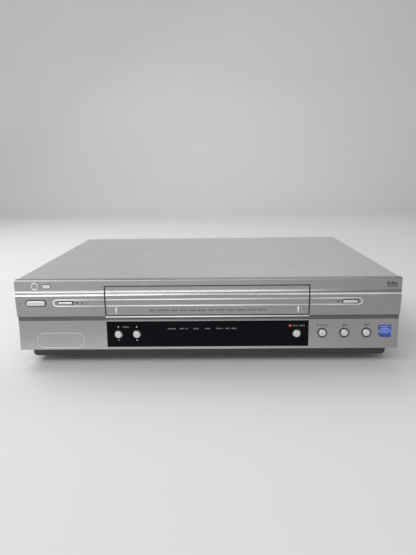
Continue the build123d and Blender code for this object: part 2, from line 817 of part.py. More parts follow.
def pill_button(x, z, width, height):
    """A long push button with round ends."""
    face = FRONT_Y + mid_inset(z)
    wall_back = face + BEZEL_WALL
    flange_y = wall_back + RUN_GAP
    cap = pill(
        x, z, width - 2 * BUTTON_GAP, height - 2 * BUTTON_GAP,
        face - BUTTON_PROUD, flange_y + FLANGE_T,
    )
    flange = pill(
        x, z, width + 2 * FLANGE_OVER, height + 2 * FLANGE_OVER, flange_y, flange_y + FLANGE_T
    )
    return push_button(cap, flange, x, z, wall_back)


def round_button(x, z, wall_back):
    """A round push button."""
    face = FRONT_Y + lower_inset(z)
    flange_y = wall_back + RUN_GAP
    cap = rod_y(x, z, face - BUTTON_PROUD, flange_y + FLANGE_T, ROUND_BUTTON_R)
    flange_r = ROUND_BUTTON_R + BUTTON_GAP + FLANGE_OVER
    flange = rod_y(x, z, flange_y, flange_y + FLANGE_T, flange_r)
    return push_button(cap, flange, x, z, wall_back)


def all_buttons():
    """Every button by its name."""
    shapes = {}
    for name, (x, z, width, height) in PILL_BUTTONS.items():
        shapes[name] = pill_button(x, z, width, height)
    for name, (x, z) in FRONT_ROUND_BUTTONS.items():
        wall_back = FRONT_Y + lower_inset(z) + BEZEL_WALL
        shapes[name] = round_button(x, z, wall_back)
    for name, (x, z) in WINDOW_ROUND_BUTTONS.items():
        wall_back = FRONT_Y + lower_inset(z) + WINDOW_SINK + WINDOW_T
        shapes[name] = round_button(x, z, wall_back)
    return shapes


# Front electronics

def front_board():
    """The front circuit board, low in the middle and taller at both sides."""
    y1 = FRONT_BOARD_Y + BOARD_T
    board = block(
        -FRONT_BOARD_HALF, FRONT_BOARD_HALF, FRONT_BOARD_Y, y1, FRONT_BOARD_LOW, FRONT_BOARD_MID
    )
    return board + mirrored(block(
        FRONT_BOARD_WING, FRONT_BOARD_HALF, FRONT_BOARD_Y, y1, FRONT_BOARD_LOW, FRONT_BOARD_HIGH
    ))


def switch_places():
    """The place of every switch, in line with its button."""
    pills = [(x, z) for x, z, _, _ in PILL_BUTTONS.values()]
    return pills + list(FRONT_ROUND_BUTTONS.values()) + list(WINDOW_ROUND_BUTTONS.values())


def tact_switches():
    """One small switch behind each button."""
    switches = Part()
    half = SWITCH_SIDE / 2
    for x, z in switch_places():
        body_y = FRONT_BOARD_Y - SWITCH_BODY_H
        switches += block(x - half, x + half, body_y, FRONT_BOARD_Y, z - half, z + half)
        switches += rod_y(x, z, SWITCH_TIP_Y, body_y, SWITCH_NIB_R)
    return switches


def display_module():
    """The clock display behind the window, a glass tube on a frame."""
    frame_y = FRONT_BOARD_Y - DISPLAY_T
    frame = block(
        -DISPLAY_HALF, DISPLAY_HALF, frame_y, FRONT_BOARD_Y, DISPLAY_LOW, DISPLAY_HIGH
    )
    glass_half = DISPLAY_HALF - DISPLAY_GLASS_SIDE
    return frame + block(
        -glass_half, glass_half, frame_y - DISPLAY_GLASS_T, frame_y,
        DISPLAY_LOW + DISPLAY_GLASS_EDGE, DISPLAY_HIGH - DISPLAY_GLASS_EDGE,
    )


# Housing

def top_cover():
    """The folded sheet cover with louvres in its sides and a lip down the back."""
    front = FRONT_Y + BEZEL_FLANGE + COVER_JOINT
    middle_y = (front + COVER_BACK) / 2
    outer = Pos(0, middle_y, HEIGHT / 2) * Box(WIDTH, COVER_BACK - front, HEIGHT)
    outer = fillet(outer.edges().filter_by(Axis.Y).group_by(Axis.Z)[-1], COVER_BEND_R)
    inner = block(
        -SIDE_X + COVER_T, SIDE_X - COVER_T, front - CUT_OVER, COVER_BACK + CUT_OVER,
        -CUT_OVER, HEIGHT - COVER_T,
    )
    inner = fillet(inner.edges().filter_by(Axis.Y).group_by(Axis.Z)[-1], COVER_BEND_R - COVER_T)
    cover = outer - inner
    cut_half = SIDE_X + CUT_OVER
    cover -= block(
        -cut_half, cut_half, front - CUT_OVER, COVER_BACK + CUT_OVER, -CUT_OVER, COVER_LOW
    )
    for index in range(SIDE_VENT_COUNT):
        y = COVER_BACK - SIDE_VENT_BACK - index * SIDE_VENT_PITCH
        cover -= block(
            -cut_half, cut_half, y - SIDE_VENT_W / 2, y + SIDE_VENT_W / 2,
            SIDE_VENT_LOW, SIDE_VENT_HIGH,
        )
    lip_half = SIDE_X - 2 * COVER_BEND_R
    lip_front = COVER_BACK - COVER_T
    lip = block(
        -lip_half, lip_half, lip_front, COVER_BACK, HEIGHT - COVER_LIP_H, HEIGHT - COVER_T
    )
    for x in REAR_SCREW_X:
        lip -= rod_y(x, REAR_SCREW_Z, lip_front - CUT_OVER, COVER_BACK + CUT_OVER, SCREW_R + SNUG)
    return cover + lip


def tray_pan():
    """The shallow pan of the tray with its rounded corners."""
    middle_y = (TRAY_FRONT + TRAY_BACK) / 2
    depth = TRAY_BACK - TRAY_FRONT
    height = BEZEL_LOW - FOOT_H
    pan = extrude(
        Pos(0, middle_y, FOOT_H) * RectangleRounded(2 * TRAY_HALF, depth, TRAY_CORNER_R), height
    )
    pan = fillet(pan.faces().sort_by(Axis.Z)[0].edges(), TRAY_EDGE_R)
    hollow = RectangleRounded(
        2 * (TRAY_HALF - TRAY_T), depth - 2 * TRAY_T, TRAY_CORNER_R - TRAY_T
    )
    return pan - extrude(Pos(0, middle_y, FLOOR_TOP) * hollow, height)


def floor_slots():
    """Two rows of air slots through the tray floor."""
    slots = Part()
    for row_x in FLOOR_SLOT_ROWS:
        for index in range(FLOOR_SLOT_COUNT):
            y = FRONT_Y + FLOOR_SLOT_START + index * FLOOR_SLOT_PITCH
            slots += block(
                row_x - FLOOR_SLOT_L / 2, row_x + FLOOR_SLOT_L / 2,
                y - FLOOR_SLOT_W / 2, y + FLOOR_SLOT_W / 2, FOOT_H - CUT_OVER, FLOOR_TOP + CUT_OVER,
            )
    return slots


def floor_ribs():
    """Two stiffening ribs that run along the tray floor."""
    return mirrored(block(
        FLOOR_RIB_X - TRAY_T / 2, FLOOR_RIB_X + TRAY_T / 2,
        TRAY_FRONT + TRAY_T, TRAY_BACK - TRAY_T, FLOOR_TOP, FLOOR_TOP + FLOOR_RIB_H,
    ))


def standoff_places():
    """Where the main circuit board rests on the tray."""
    x = MAIN_BOARD_HALF - STANDOFF_SIDE
    front = MAIN_BOARD_FRONT + STANDOFF_END
    back = MAIN_BOARD_BACK - STANDOFF_END
    return [(side * x, y) for side in (-1, 1) for y in (front, (front + back) / 2, back)]


def pillar_places():
    """Where the deck stands on its pillars, in the frame of the whole machine."""
    return [(x, y + DECK_Y) for x, y in DECK_PILLARS]


def main_frame():
    """The moulded tray: pan, ribs, side ledges, side walls, standoffs and deck pillars."""
    frame = tray_pan() - floor_slots() + floor_ribs()
    side_front = FRONT_Y + BOTTOM_FLANGE + RUN_GAP
    side_back = REAR_Y - RUN_GAP
    top = BEZEL_LOW + LEDGE_T
    frame += mirrored(block(
        TRAY_HALF - TRAY_T, INNER_HALF, side_front, side_back, BEZEL_LOW, top
    ))
    frame += mirrored(block(
        INNER_HALF - TRAY_T, INNER_HALF, BOX_BACK + RUN_GAP, side_back, top, SIDE_WALL_HIGH
    ))
    for x, y in standoff_places():
        frame += upright(x, y, FLOOR_TOP, MAIN_BOARD_Z, STANDOFF_R)
    for x, y in pillar_places():
        frame += upright(x, y, FLOOR_TOP, DECK_UNDER, PILLAR_R)
        frame -= upright(x, y, DECK_UNDER - DECK_SCREW_L - CUT_OVER, DECK_UNDER, SCREW_R + SNUG)
    return frame


def feet():
    """Four round feet with a shallow rim."""
    group = Part()
    for side in (-1, 1):
        for y in (TRAY_FRONT + FOOT_INSET_Y, TRAY_BACK - FOOT_INSET_Y):
            x = side * (SIDE_X - FOOT_INSET_X)
            foot = Pos(x, y, FOOT_H / 2) * Cone(FOOT_R - FOOT_TAPER, FOOT_R, FOOT_H)
            group += foot - upright(x, y, -CUT_OVER, FOOT_DISH, FOOT_R - FOOT_RIM)
    return group


def vent_slots():
    """A row of upright slots through the back plate."""
    slots = Part()
    for index in range(REAR_VENT_COUNT):
        x = REAR_VENT_X + (index - (REAR_VENT_COUNT - 1) / 2) * REAR_VENT_PITCH
        slots += block(
            x - REAR_VENT_W / 2, x + REAR_VENT_W / 2, REAR_Y - CUT_OVER, TRAY_BACK + CUT_OVER,
            REAR_VENT_Z - REAR_VENT_H / 2, REAR_VENT_Z + REAR_VENT_H / 2,
        )
    return slots


def rear_panel():
    """The back plate with its socket holes and vents."""
    cut_front = REAR_Y - CUT_OVER
    cut_back = TRAY_BACK + CUT_OVER
    ledge_top = BEZEL_LOW + LEDGE_T
    tongue = TRAY_HALF - TRAY_CORNER_R
    plate = block(-INNER_HALF, INNER_HALF, REAR_Y, TRAY_BACK, ledge_top, REAR_HIGH)
    plate += block(-tongue, tongue, REAR_Y, TRAY_BACK, BEZEL_LOW, ledge_top)
    for z in AERIAL_Z:
        plate -= rod_y(AERIAL_X, z, cut_front, cut_back, AERIAL_COLLAR_R + RUN_GAP)
    for x in AV_X:
        for z in AV_Z:
            plate -= rod_y(x, z, cut_front, cut_back, AV_COLLAR_R + RUN_GAP)
    plate -= pill(
        INLET_X, INLET_Z, INLET_W + 2 * RUN_GAP, INLET_H + 2 * RUN_GAP, cut_front, cut_back
    )
    for x in REAR_SCREW_X:
        plate -= rod_y(x, REAR_SCREW_Z, cut_front, cut_back, SCREW_R + SNUG)
    return plate - vent_slots()


def cover_screws():
    """Screws that hold the cover's lip to the back plate."""
    screws = Part()
    for x in REAR_SCREW_X:
        screws += rod_y(x, REAR_SCREW_Z, COVER_BACK, COVER_BACK + SCREW_HEAD_H, SCREW_HEAD_R)
        screws += rod_y(x, REAR_SCREW_Z, COVER_BACK - REAR_SCREW_L, COVER_BACK, SCREW_R)
    return screws


# Electronics in the tray

def bay_x(share):
    """A place across the left or right bay, as a signed share of the way to the side."""
    reach = DECK_HALF + abs(share) * BAY_W
    return reach if share > 0 else -reach


def main_board():
    """The main circuit board with holes for the deck pillars."""
    board = block(
        -MAIN_BOARD_HALF, MAIN_BOARD_HALF, MAIN_BOARD_FRONT, MAIN_BOARD_BACK,
        MAIN_BOARD_Z, BOARD_TOP,
    )
    for x, y in pillar_places():
        board -= drilled(x, y, MAIN_BOARD_Z, BOARD_TOP, PILLAR_R + PILLAR_CLEAR)
    return board


def power_transformer():
    """A laminated core round a moulded coil."""
    core = block(
        TRANSFORMER_X - CORE_W / 2, TRANSFORMER_X + CORE_W / 2,
        TRANSFORMER_Y - CORE_D / 2, TRANSFORMER_Y + CORE_D / 2, BOARD_TOP, BOARD_TOP + CORE_H,
    )
    coil = Pos(TRANSFORMER_X, TRANSFORMER_Y, BOARD_TOP + CORE_H / 2) * Box(COIL_W, COIL_D, COIL_H)
    return core + fillet(coil.edges().filter_by(Axis.Z), COIL_ROUND)


def heat_sink():
    """A finned aluminium extrusion standing on the board."""
    x0 = SINK_X - SINK_W / 2
    top = BOARD_TOP + SINK_H
    fin_y = SINK_Y + SINK_BASE_T
    pitch = (SINK_W - SINK_FIN_T) / (SINK_FINS - 1)
    sink = block(x0, x0 + SINK_W, SINK_Y, fin_y, BOARD_TOP, top)
    for index in range(SINK_FINS):
        x = x0 + index * pitch
        sink += block(x, x + SINK_FIN_T, fin_y, fin_y + SINK_FIN_L, BOARD_TOP, top)
    return sink


def capacitors():
    """Upright capacitors of several sizes with rounded tops."""
    group = Part()
    for share, y, radius, height in CAPACITORS:
        sleeve = upright(bay_x(share), y, BOARD_TOP, BOARD_TOP + height, radius)
        top_edge = sleeve.edges().sort_by(Axis.Z)[-1]
        group += fillet(top_edge, CAPACITOR_ROUND)
    return group


def ic_chips():
    """Flat chip packages on the main board."""
    group = Part()
    for share, y, width, depth in CHIPS:
        x = bay_x(share)
        group += block(
            x - width / 2, x + width / 2, y - depth / 2, y + depth / 2,
            BOARD_TOP, BOARD_TOP + CHIP_H,
        )
    return group


# Sockets on the back

def socket(x, z, y0, y1, radius, collar_r, bore_r):
    """A round socket: a collar through the back plate, a narrow neck and an open barrel."""
    collar_y = TRAY_BACK + SOCKET_COLLAR_PROUD
    barrel_y = collar_y + SOCKET_NECK_L
    shape = rod_y(x, z, y0, collar_y, collar_r)
    shape += rod_y(x, z, collar_y, barrel_y, radius - SOCKET_NECK_STEP)
    shape += rod_y(x, z, barrel_y, y1, radius)
    return shape - rod_y(x, z, y1 - SOCKET_BORE_DEEP, y1 + CUT_OVER, bore_r)


def tuner_module():
    """The tuner's shielding can with two aerial sockets through the back plate."""
    can = block(
        AERIAL_X - TUNER_HALF_W, AERIAL_X + TUNER_HALF_W,
        MODULE_BACK - TUNER_D, MODULE_BACK, BOARD_TOP, TUNER_TOP,
    )
    can = fillet(can.edges().filter_by(Axis.Z), TUNER_ROUND)
    for z in AERIAL_Z:
        can += socket(
            AERIAL_X, z, MODULE_BACK, BACK_Y, AERIAL_R, AERIAL_COLLAR_R, AERIAL_BORE_R
        )
    return can


def av_jack_block():
    """The moulded block that carries the six round sockets."""
    return block(
        min(AV_X) - AV_BLOCK_EDGE, max(AV_X) + AV_BLOCK_EDGE,
        MODULE_BACK - AV_BLOCK_D, MODULE_BACK, BOARD_TOP, max(AV_Z) + AV_BLOCK_EDGE,
    )


def av_jack_barrels():
    """Six round sockets for picture and sound."""
    group = Part()
    for x in AV_X:
        for z in AV_Z:
            group += socket(x, z, MODULE_BACK, BACK_Y - AV_SHORT, AV_R, AV_COLLAR_R, AV_BORE_R)
    return group


def mains_inlet():
    """The two-pin mains inlet in its moulded shell."""
    y0 = REAR_Y - INLET_D
    y1 = TRAY_BACK + INLET_PROUD
    floor_y = y1 - INLET_DEEP
    shell = pill(INLET_X, INLET_Z, INLET_W, INLET_H, y0, y1)
    shell -= pill(
        INLET_X, INLET_Z, INLET_W - 2 * INLET_WALL, INLET_H - 2 * INLET_WALL,
        floor_y, y1 + CUT_OVER,
    )
    for side in (-1, 1):
        x = INLET_X + side * INLET_PIN_HALF
        shell += rod_y(x, INLET_Z, floor_y - INLET_WALL, y1 - INLET_PIN_SHORT, INLET_PIN_R)
    return shell + block(
        INLET_X - INLET_W / 4, INLET_X + INLET_W / 4, y0, y0 + INLET_FOOT_D, BOARD_TOP, INLET_Z
    )


# Tape deck, drawn about its own middle

def guide_slot(side):
    """The curved slot that one tape guide runs along."""
    first = GUIDE_START_DEG + GUIDE_SLOT_END_DEG
    last = GUIDE_START_DEG - GUIDE_SWEEP_DEG - GUIDE_SLOT_END_DEG
    arcs = []
    for radius in (GUIDE_ARC_R - GUIDE_SLOT_W / 2, GUIDE_ARC_R + GUIDE_SLOT_W / 2):
        arcs.append([
            mirror_x(side, polar(GUIDE_ARC_X, GUIDE_ARC_Y, radius, angle))
            for angle in (first, (first + last) / 2, last)
        ])
    inner, outer = arcs
    face = make_face(Curve() + [
        ThreePointArc(*inner),
        Line(inner[-1], outer[-1]),
        ThreePointArc(*outer),
        Line(outer[0], inner[0]),
    ])
    return extrude(Pos(0, 0, DECK_UNDER - CUT_OVER) * face, DECK_T + 2 * CUT_OVER)


def pivot_pin(x, y, top):
    """A pin standing on the deck plate."""
    return upright(x, y, DECK_TOP, top, PIVOT_R)


def deck_plate():
    """The steel plate with its pins, screw holes and the guides' curved slots."""
    plate = block(-DECK_HALF, DECK_HALF, DECK_FRONT, DECK_BACK, DECK_UNDER, DECK_TOP)
    plate = fillet(plate.edges().filter_by(Axis.Z), DECK_CORNER_R)
    plate -= guide_slot(1) + guide_slot(-1)
    plate -= drilled(CAPSTAN_X, CAPSTAN_Y, DECK_UNDER, DECK_TOP, BEARING_R + SNUG)
    for x, y in DECK_PILLARS:
        plate -= drilled(x, y, DECK_UNDER, DECK_TOP, SCREW_R + SNUG)
    for x in (-REEL_X, REEL_X):
        plate += upright(x, REEL_Y, DECK_TOP, REEL_LOW - RUN_GAP, REEL_PIN_R + REEL_SEAT_W)
        plate += upright(x, REEL_Y, DECK_TOP, REEL_PIN_TOP, REEL_PIN_R)
    plate += pivot_pin(0, IDLER_PIVOT_Y, REEL_LOW + 3 * IDLER_ARM_T)
    plate += pivot_pin(PINCH_PIVOT_X, PINCH_PIVOT_Y, PINCH_LOW)
    plate += pivot_pin(TENSION_PIVOT_X, TENSION_PIVOT_Y, PIVOT_HIGH)
    plate += pivot_pin(CAM_X, CAM_Y, CAM_HIGH + PIN_CLEAR)
    for x in (-BRAKE_PIVOT_X, BRAKE_PIVOT_X):
        plate += pivot_pin(x, BRAKE_PIVOT_Y, PIVOT_HIGH)
    return plate


def deck_screws():
    """Screws that hold the deck plate on its pillars."""
    screws = Part()
    for x, y in DECK_PILLARS:
        screws += upright(x, y, DECK_TOP, DECK_TOP + SCREW_HEAD_H, SCREW_HEAD_R)
        screws += upright(x, y, DECK_UNDER - DECK_SCREW_L, DECK_TOP, SCREW_R)
    return screws


def deck_bracket(side):
    """A side plate of the deck with a slot that the carriage's pins run in."""
    x0 = BRACKET_X
    x1 = BRACKET_X + BRACKET_T
    plate = block(x0, x1, BRACKET_FRONT, BRACKET_BACK, DECK_TOP, BRACKET_HIGH)
    plate = fillet(plate.edges().filter_by(Axis.X).group_by(Axis.Z)[-1], BRACKET_ROUND)
    slot_end = SLIDER_PIN_R + RUN_GAP
    slot_half = SLIDER_PIN_R + SNUG
    plate -= block(
        x0 - CUT_OVER, x1 + CUT_OVER,
        min(HOLDER_PIN_Y) - slot_end, max(HOLDER_PIN_Y) + CARRIAGE_TRAVEL + slot_end,
        SLIDER_PIN_Z - slot_half, SLIDER_PIN_Z + slot_half,
    )
    window = block(
        x0 - CUT_OVER, x1 + CUT_OVER,
        BRACKET_FRONT + BRACKET_HOLE_END, BRACKET_BACK - BRACKET_HOLE_END,
        DECK_TOP + BRACKET_HOLE_LOW, SLIDER_LOW + BRACKET_HOLE_HIGH,
    )
    plate -= fillet(window.edges().filter_by(Axis.X), BRACKET_ROUND)
    foot = block(
        x1 - BRACKET_FOOT, x1, BRACKET_FRONT + BRACKET_FOOT_END, BRACKET_BACK - BRACKET_FOOT_END,
        DECK_TOP, DECK_TOP + BRACKET_T,
    )
    whole = plate + foot
    return whole if side > 0 else mirror(whole, Plane.YZ)


def carriage_slider():
    """Two side plates joined by a tie bar, which run back along the brackets."""
    x0 = SLIDER_X
    x1 = SLIDER_X + SLIDER_T
    plate = block(x0, x1, HOLDER_FRONT, HOLDER_BACK, SLIDER_LOW, SLIDER_HIGH)
    slot_half = HOLDER_PIN_R + SNUG
    slot_end = HOLDER_PIN_R + RUN_GAP
    pin_end = BRACKET_X + BRACKET_T + SLIDER_PIN_OUT
    for y in HOLDER_PIN_Y:
        plate -= block(
            x0 - CUT_OVER, x1 + CUT_OVER, y - slot_half, y + slot_half,
            HOLDER_PIN_Z - HOLDER_DROP - slot_end, HOLDER_PIN_Z + slot_end,
        )
        plate += rod_x(y, SLIDER_PIN_Z, x1, pin_end, SLIDER_PIN_R)
    roof = CASSETTE_EJECT_Z + CASSETTE_H + HOLDER_HEAD_GAP + HOLDER_T + TIE_GAP
    return mirrored(plate) + block(-x1, x1, HOLDER_BACK - TIE_W, HOLDER_BACK, roof, SLIDER_HIGH)


def cassette_holder():
    """The open-fronted cage that grips the cassette and sinks with it."""
    inner = CASSETTE_HALF + HOLDER_SIDE_GAP
    outer = inner + HOLDER_T
    low = CASSETTE_EJECT_Z - HOLDER_T
    high = CASSETTE_EJECT_Z + CASSETTE_H + HOLDER_HEAD_GAP
    side = block(inner, outer, HOLDER_FRONT, HOLDER_BACK, low, high + HOLDER_T)
    side += block(inner - HOLDER_RAIL, inner, HOLDER_FRONT, HOLDER_BACK, low, CASSETTE_EJECT_Z)
    side += block(
        inner - HOLDER_RAIL, inner, HOLDER_BACK - HOLDER_T, HOLDER_BACK,
        CASSETTE_EJECT_Z, CASSETTE_EJECT_Z + HOLDER_RAIL,
    )
    for y in HOLDER_PIN_Y:
        side += rod_x(y, HOLDER_PIN_Z, outer, SLIDER_X + SLIDER_T, HOLDER_PIN_R)
    plate = block(-inner, inner, HOLDER_PLATE_FRONT, HOLDER_BACK, high, high + HOLDER_T)
    for x in HOLDER_WINDOW_X:
        window = block(
            x - HOLDER_WINDOW_HALF, x + HOLDER_WINDOW_HALF,
            HOLDER_PLATE_FRONT + HOLDER_WINDOW_EDGE, HOLDER_BACK - HOLDER_WINDOW_EDGE,
            high - CUT_OVER, high + HOLDER_T + CUT_OVER,
        )
        plate -= fillet(window.edges().filter_by(Axis.Z), HOLDER_WINDOW_R)
    return mirrored(side) + plate


# Head drum

def tilted(shape):
    """A drum part leaned forward about the middle of the drum."""
    centre = Pos(DRUM_X, DRUM_Y, DRUM_SPLIT)
    return centre * Rot(DRUM_TILT, 0, 0) * Pos(-DRUM_X, -DRUM_Y, -DRUM_SPLIT) * shape


def drum_base():
    """The fixed lower drum on its base, with the tape's ledge round its foot."""
    split = DRUM_SPLIT - DRUM_SPLIT_GAP / 2
    base_top = DRUM_LOW + DRUM_BASE_RISE
    lower = upright(DRUM_X, DRUM_Y, DRUM_LOW, split, DRUM_R)
    lower += upright(DRUM_X, DRUM_Y, DRUM_LOW, DRUM_LOW + DRUM_LEAD_H, DRUM_R + DRUM_LEAD_PROUD)
    lower -= drilled(DRUM_X, DRUM_Y, DRUM_LOW, split, DRUM_SHAFT_R + SNUG)
    base = upright(DRUM_X, DRUM_Y, DECK_TOP, base_top, DRUM_BASE_R)
    base -= drilled(DRUM_X, DRUM_Y, DECK_TOP, base_top, 2 * DRUM_SHAFT_R)
    return tilted(lower) + base


def upper_drum():
    """The spinning upper drum with its hollow top, head slots and shaft."""
    low = DRUM_SPLIT + DRUM_SPLIT_GAP / 2
    floor = DRUM_HIGH - DRUM_HOLLOW_DEEP
    drum = upright(DRUM_X, DRUM_Y, low, DRUM_HIGH, DRUM_R)
    drum -= upright(DRUM_X, DRUM_Y, floor, DRUM_HIGH + CUT_OVER, DRUM_R - DRUM_RIM_W)
    drum += upright(DRUM_X, DRUM_Y, floor, DRUM_HIGH + DRUM_HUB_PROUD, DRUM_HUB_R)
    for angle in HEAD_SLOT_ANGLES:
        x, y = polar(DRUM_X, DRUM_Y, DRUM_R, angle)
        slot = Box(HEAD_SLOT_DEEP, HEAD_SLOT_W, HEAD_SLOT_H)
        drum -= Pos(x, y, low + HEAD_SLOT_H / 3) * Rot(0, 0, angle) * slot
    drum += upright(DRUM_X, DRUM_Y, DRUM_LOW + CUT_OVER, low, DRUM_SHAFT_R)
    return tilted(drum)


# Reels and idler

def reel(x):
    """A reel table: a toothed disc and a hub with splines, bored for its pin."""
    disc_top = REEL_LOW + REEL_DISC_T
    body = gear(REEL_TEETH, REEL_R, REEL_TOOTH, REEL_LOW, disc_top)
    body += upright(0, 0, REEL_LOW, REEL_HUB_TOP - REEL_CONE_H, REEL_HUB_R)
    body += Pos(0, 0, REEL_HUB_TOP - REEL_CONE_H / 2) * Cone(
        REEL_HUB_R, REEL_HUB_R - REEL_CONE_H, REEL_CONE_H
    )
    spline = block(
        REEL_HUB_R - REEL_SPLINE_OUT / 2, REEL_HUB_R + REEL_SPLINE_OUT,
        -REEL_SPLINE_W / 2, REEL_SPLINE_W / 2, disc_top, REEL_HUB_TOP - REEL_SPLINE_SHORT,
    )
    for index in range(REEL_SPLINES):
        body += Rot(0, 0, index * 360 / REEL_SPLINES) * spline
    bore_top = REEL_PIN_TOP + REEL_PIN_HEAD_GAP
    body -= upright(0, 0, REEL_LOW - CUT_OVER, bore_top, REEL_PIN_R + SNUG)
    return Pos(x, REEL_Y, 0) * body


def idler_arm():
    """The swinging lever that carries the idler gear."""
    gear_y = IDLER_PIVOT_Y - IDLER_REACH
    low = REEL_LOW + REEL_DISC_T + RUN_GAP
    arm = flat_arm(0, IDLER_PIVOT_Y, 0, gear_y, ARM_HALF, low, IDLER_ARM_T)
    arm -= drilled(0, IDLER_PIVOT_Y, low, low + IDLER_ARM_T, PIVOT_R + SNUG)
    return arm + upright(0, gear_y, REEL_LOW, low, IDLER_PIN_R)


def idler_gear():
    """The small gear that meets one reel or the other."""
    top = REEL_LOW + REEL_DISC_T
    body = gear(IDLER_TEETH, IDLER_R, REEL_TOOTH, REEL_LOW, top)
    body -= drilled(0, 0, REEL_LOW, top, IDLER_PIN_R + SNUG)
    return Pos(0, IDLER_PIVOT_Y - IDLER_REACH, 0) * body


# Capstan and pinch roller

def capstan_bearing():
    """The flanged bearing tube that holds the capstan shaft in the deck."""
    x, y = CAPSTAN_X, CAPSTAN_Y
    low = DECK_UNDER - BEARING_UNDER
    tube = upright(x, y, low, BEARING_TOP, BEARING_R)
    tube += upright(x, y, DECK_TOP, DECK_TOP + BEARING_FLANGE_T, BEARING_R + BEARING_FLANGE)
    return tube - drilled(x, y, low, BEARING_TOP, CAPSTAN_R + SNUG)


def capstan_motor():
    """The capstan motor's stator board, hung under the deck on three posts."""
    top = STATOR_LOW + STATOR_T
    base = upright(CAPSTAN_X, CAPSTAN_Y, STATOR_LOW, top, STATOR_R)
    for angle in STATOR_POST_ANGLES:
        x, y = polar(CAPSTAN_X, CAPSTAN_Y, STATOR_R - STATOR_POST_EDGE, angle)
        base += upright(x, y, top, DECK_UNDER, STATOR_POST_R)
    return base


def capstan_flywheel():
    """The flywheel and the thin capstan shaft in one turned piece."""
    x, y = CAPSTAN_X, CAPSTAN_Y
    top = FLYWHEEL_LOW + FLYWHEEL_T
    wheel = upright(x, y, FLYWHEEL_LOW, top, FLYWHEEL_R)
    wheel -= upright(x, y, FLYWHEEL_LOW + FLYWHEEL_WEB, top + CUT_OVER, FLYWHEEL_R - FLYWHEEL_RIM)
    return wheel + upright(x, y, FLYWHEEL_LOW, CAPSTAN_TOP, CAPSTAN_R)


def pinch_place():
    """The pinch roller's centre at rest."""
    return polar(PINCH_PIVOT_X, PINCH_PIVOT_Y, PINCH_REACH, PINCH_REST_DEG)


def pinch_arm():
    """The lever that swings the pinch roller to the capstan."""
    x, y = pinch_place()
    low = PINCH_LOW - ARM_T - RUN_GAP
    arm = flat_arm(PINCH_PIVOT_X, PINCH_PIVOT_Y, x, y, ARM_HALF, low, ARM_T)
    arm += upright(PINCH_PIVOT_X, PINCH_PIVOT_Y, ARM_LOW, low, ARM_HALF)
    arm += upright(x, y, low, PINCH_HIGH + PIN_CLEAR, POST_R)
    return arm - drilled(PINCH_PIVOT_X, PINCH_PIVOT_Y, ARM_LOW, PINCH_LOW, PIVOT_R + SNUG)


def pinch_roller():
    """The rubber roller on the pinch lever."""
    x, y = pinch_place()
    roller = upright(x, y, PINCH_LOW, PINCH_HIGH, PINCH_R)
    return roller - drilled(x, y, PINCH_LOW, PINCH_HIGH, POST_R + SNUG)


# Loading mechanism

def tape_guide(side):
    """A guide block with its roller post, standing on the deck over its curved slot."""
    x, y = mirror_x(side, polar(GUIDE_ARC_X, GUIDE_ARC_Y, GUIDE_ARC_R, GUIDE_START_DEG))
    turn = GUIDE_START_DEG if side > 0 else 180 - GUIDE_START_DEG
    foot = Box(GUIDE_BASE_W, GUIDE_BASE_L, GUIDE_BASE_H)
    foot = fillet(foot.edges().filter_by(Axis.Z), GUIDE_BASE_ROUND)
    guide = Pos(x, y, ARM_LOW + GUIDE_BASE_H / 2) * Rot(0, 0, turn) * foot
    keel_low = DECK_UNDER - GUIDE_KEEL_DEEP
    keel_r = GUIDE_SLOT_W / 2
    guide += upright(x, y, keel_low, ARM_LOW, keel_r - SNUG)
    guide += upright(x, y, keel_low, DECK_UNDER - RUN_GAP, keel_r + GUIDE_KEEL_LIP)
    low = ARM_LOW + GUIDE_BASE_H
    guide += upright(x, y, low, GUIDE_TOP, GUIDE_ROLLER_R - GUIDE_CORE_STEP)
    guide += upright(x, y, low + GUIDE_ROLLER_END, GUIDE_TOP - GUIDE_ROLLER_END, GUIDE_ROLLER_R)
    cap_r = GUIDE_ROLLER_R + GUIDE_CAP_STEP
    return guide + upright(x, y, GUIDE_TOP - GUIDE_CAP_T, GUIDE_TOP, cap_r)


def cam_gear():
    """The cam gear: a tall hub with a toothed ring at its top."""
    body = upright(0, 0, CAM_LOW, CAM_RING_LOW, CAM_R - CAM_HUB_STEP)
    body += gear(CAM_TEETH, CAM_R, CAM_TOOTH, CAM_RING_LOW, CAM_HIGH)
    dish_low = CAM_HIGH - CAM_DISH_DEEP
    body -= upright(0, 0, dish_low, CAM_HIGH + CUT_OVER, CAM_R - CAM_TOOTH - CAM_DISH_RIM)
    body += upright(0, 0, dish_low, CAM_HIGH, CAM_BOSS_R)
    body -= drilled(0, 0, CAM_LOW, CAM_HIGH, PIVOT_R + SNUG)
    return Pos(CAM_X, CAM_Y, 0) * body


def worm_axis():
    """The worm's centre line: its distance in X and its height."""
    return CAM_X - CAM_R - WORM_R - WORM_MESH_GAP, (CAM_RING_LOW + CAM_HIGH) / 2


def worm():
    """The worm on the motor's shaft, with ring-shaped threads."""
    x, z = worm_axis()
    y0 = CAM_Y - WORM_HALF
    y1 = CAM_Y + WORM_HALF
    body = rod_y(x, z, y0, y1, WORM_CORE_R)
    for index in range(int(2 * WORM_HALF / WORM_PITCH)):
        y = y0 + (index + 0.5) * WORM_PITCH
        thread = Pos(x, y, z) * Rot(90, 0, 0) * Cylinder(WORM_R, WORM_PITCH / 2)
        body += chamfer(thread.edges().filter_by(GeomType.CIRCLE), WORM_PITCH / 6)
    return body - rod_y(x, z, y0 - CUT_OVER, y1 + CUT_OVER, MOTOR_SHAFT_R)


def motor_front():
    """Where the motor's front face stands clear of the cam gear's rim."""
    x, _ = worm_axis()
    reach = CAM_X - (x + MOTOR_R)
    return CAM_Y + sqrt(CAM_R ** 2 - reach ** 2) + MOTOR_CLEAR


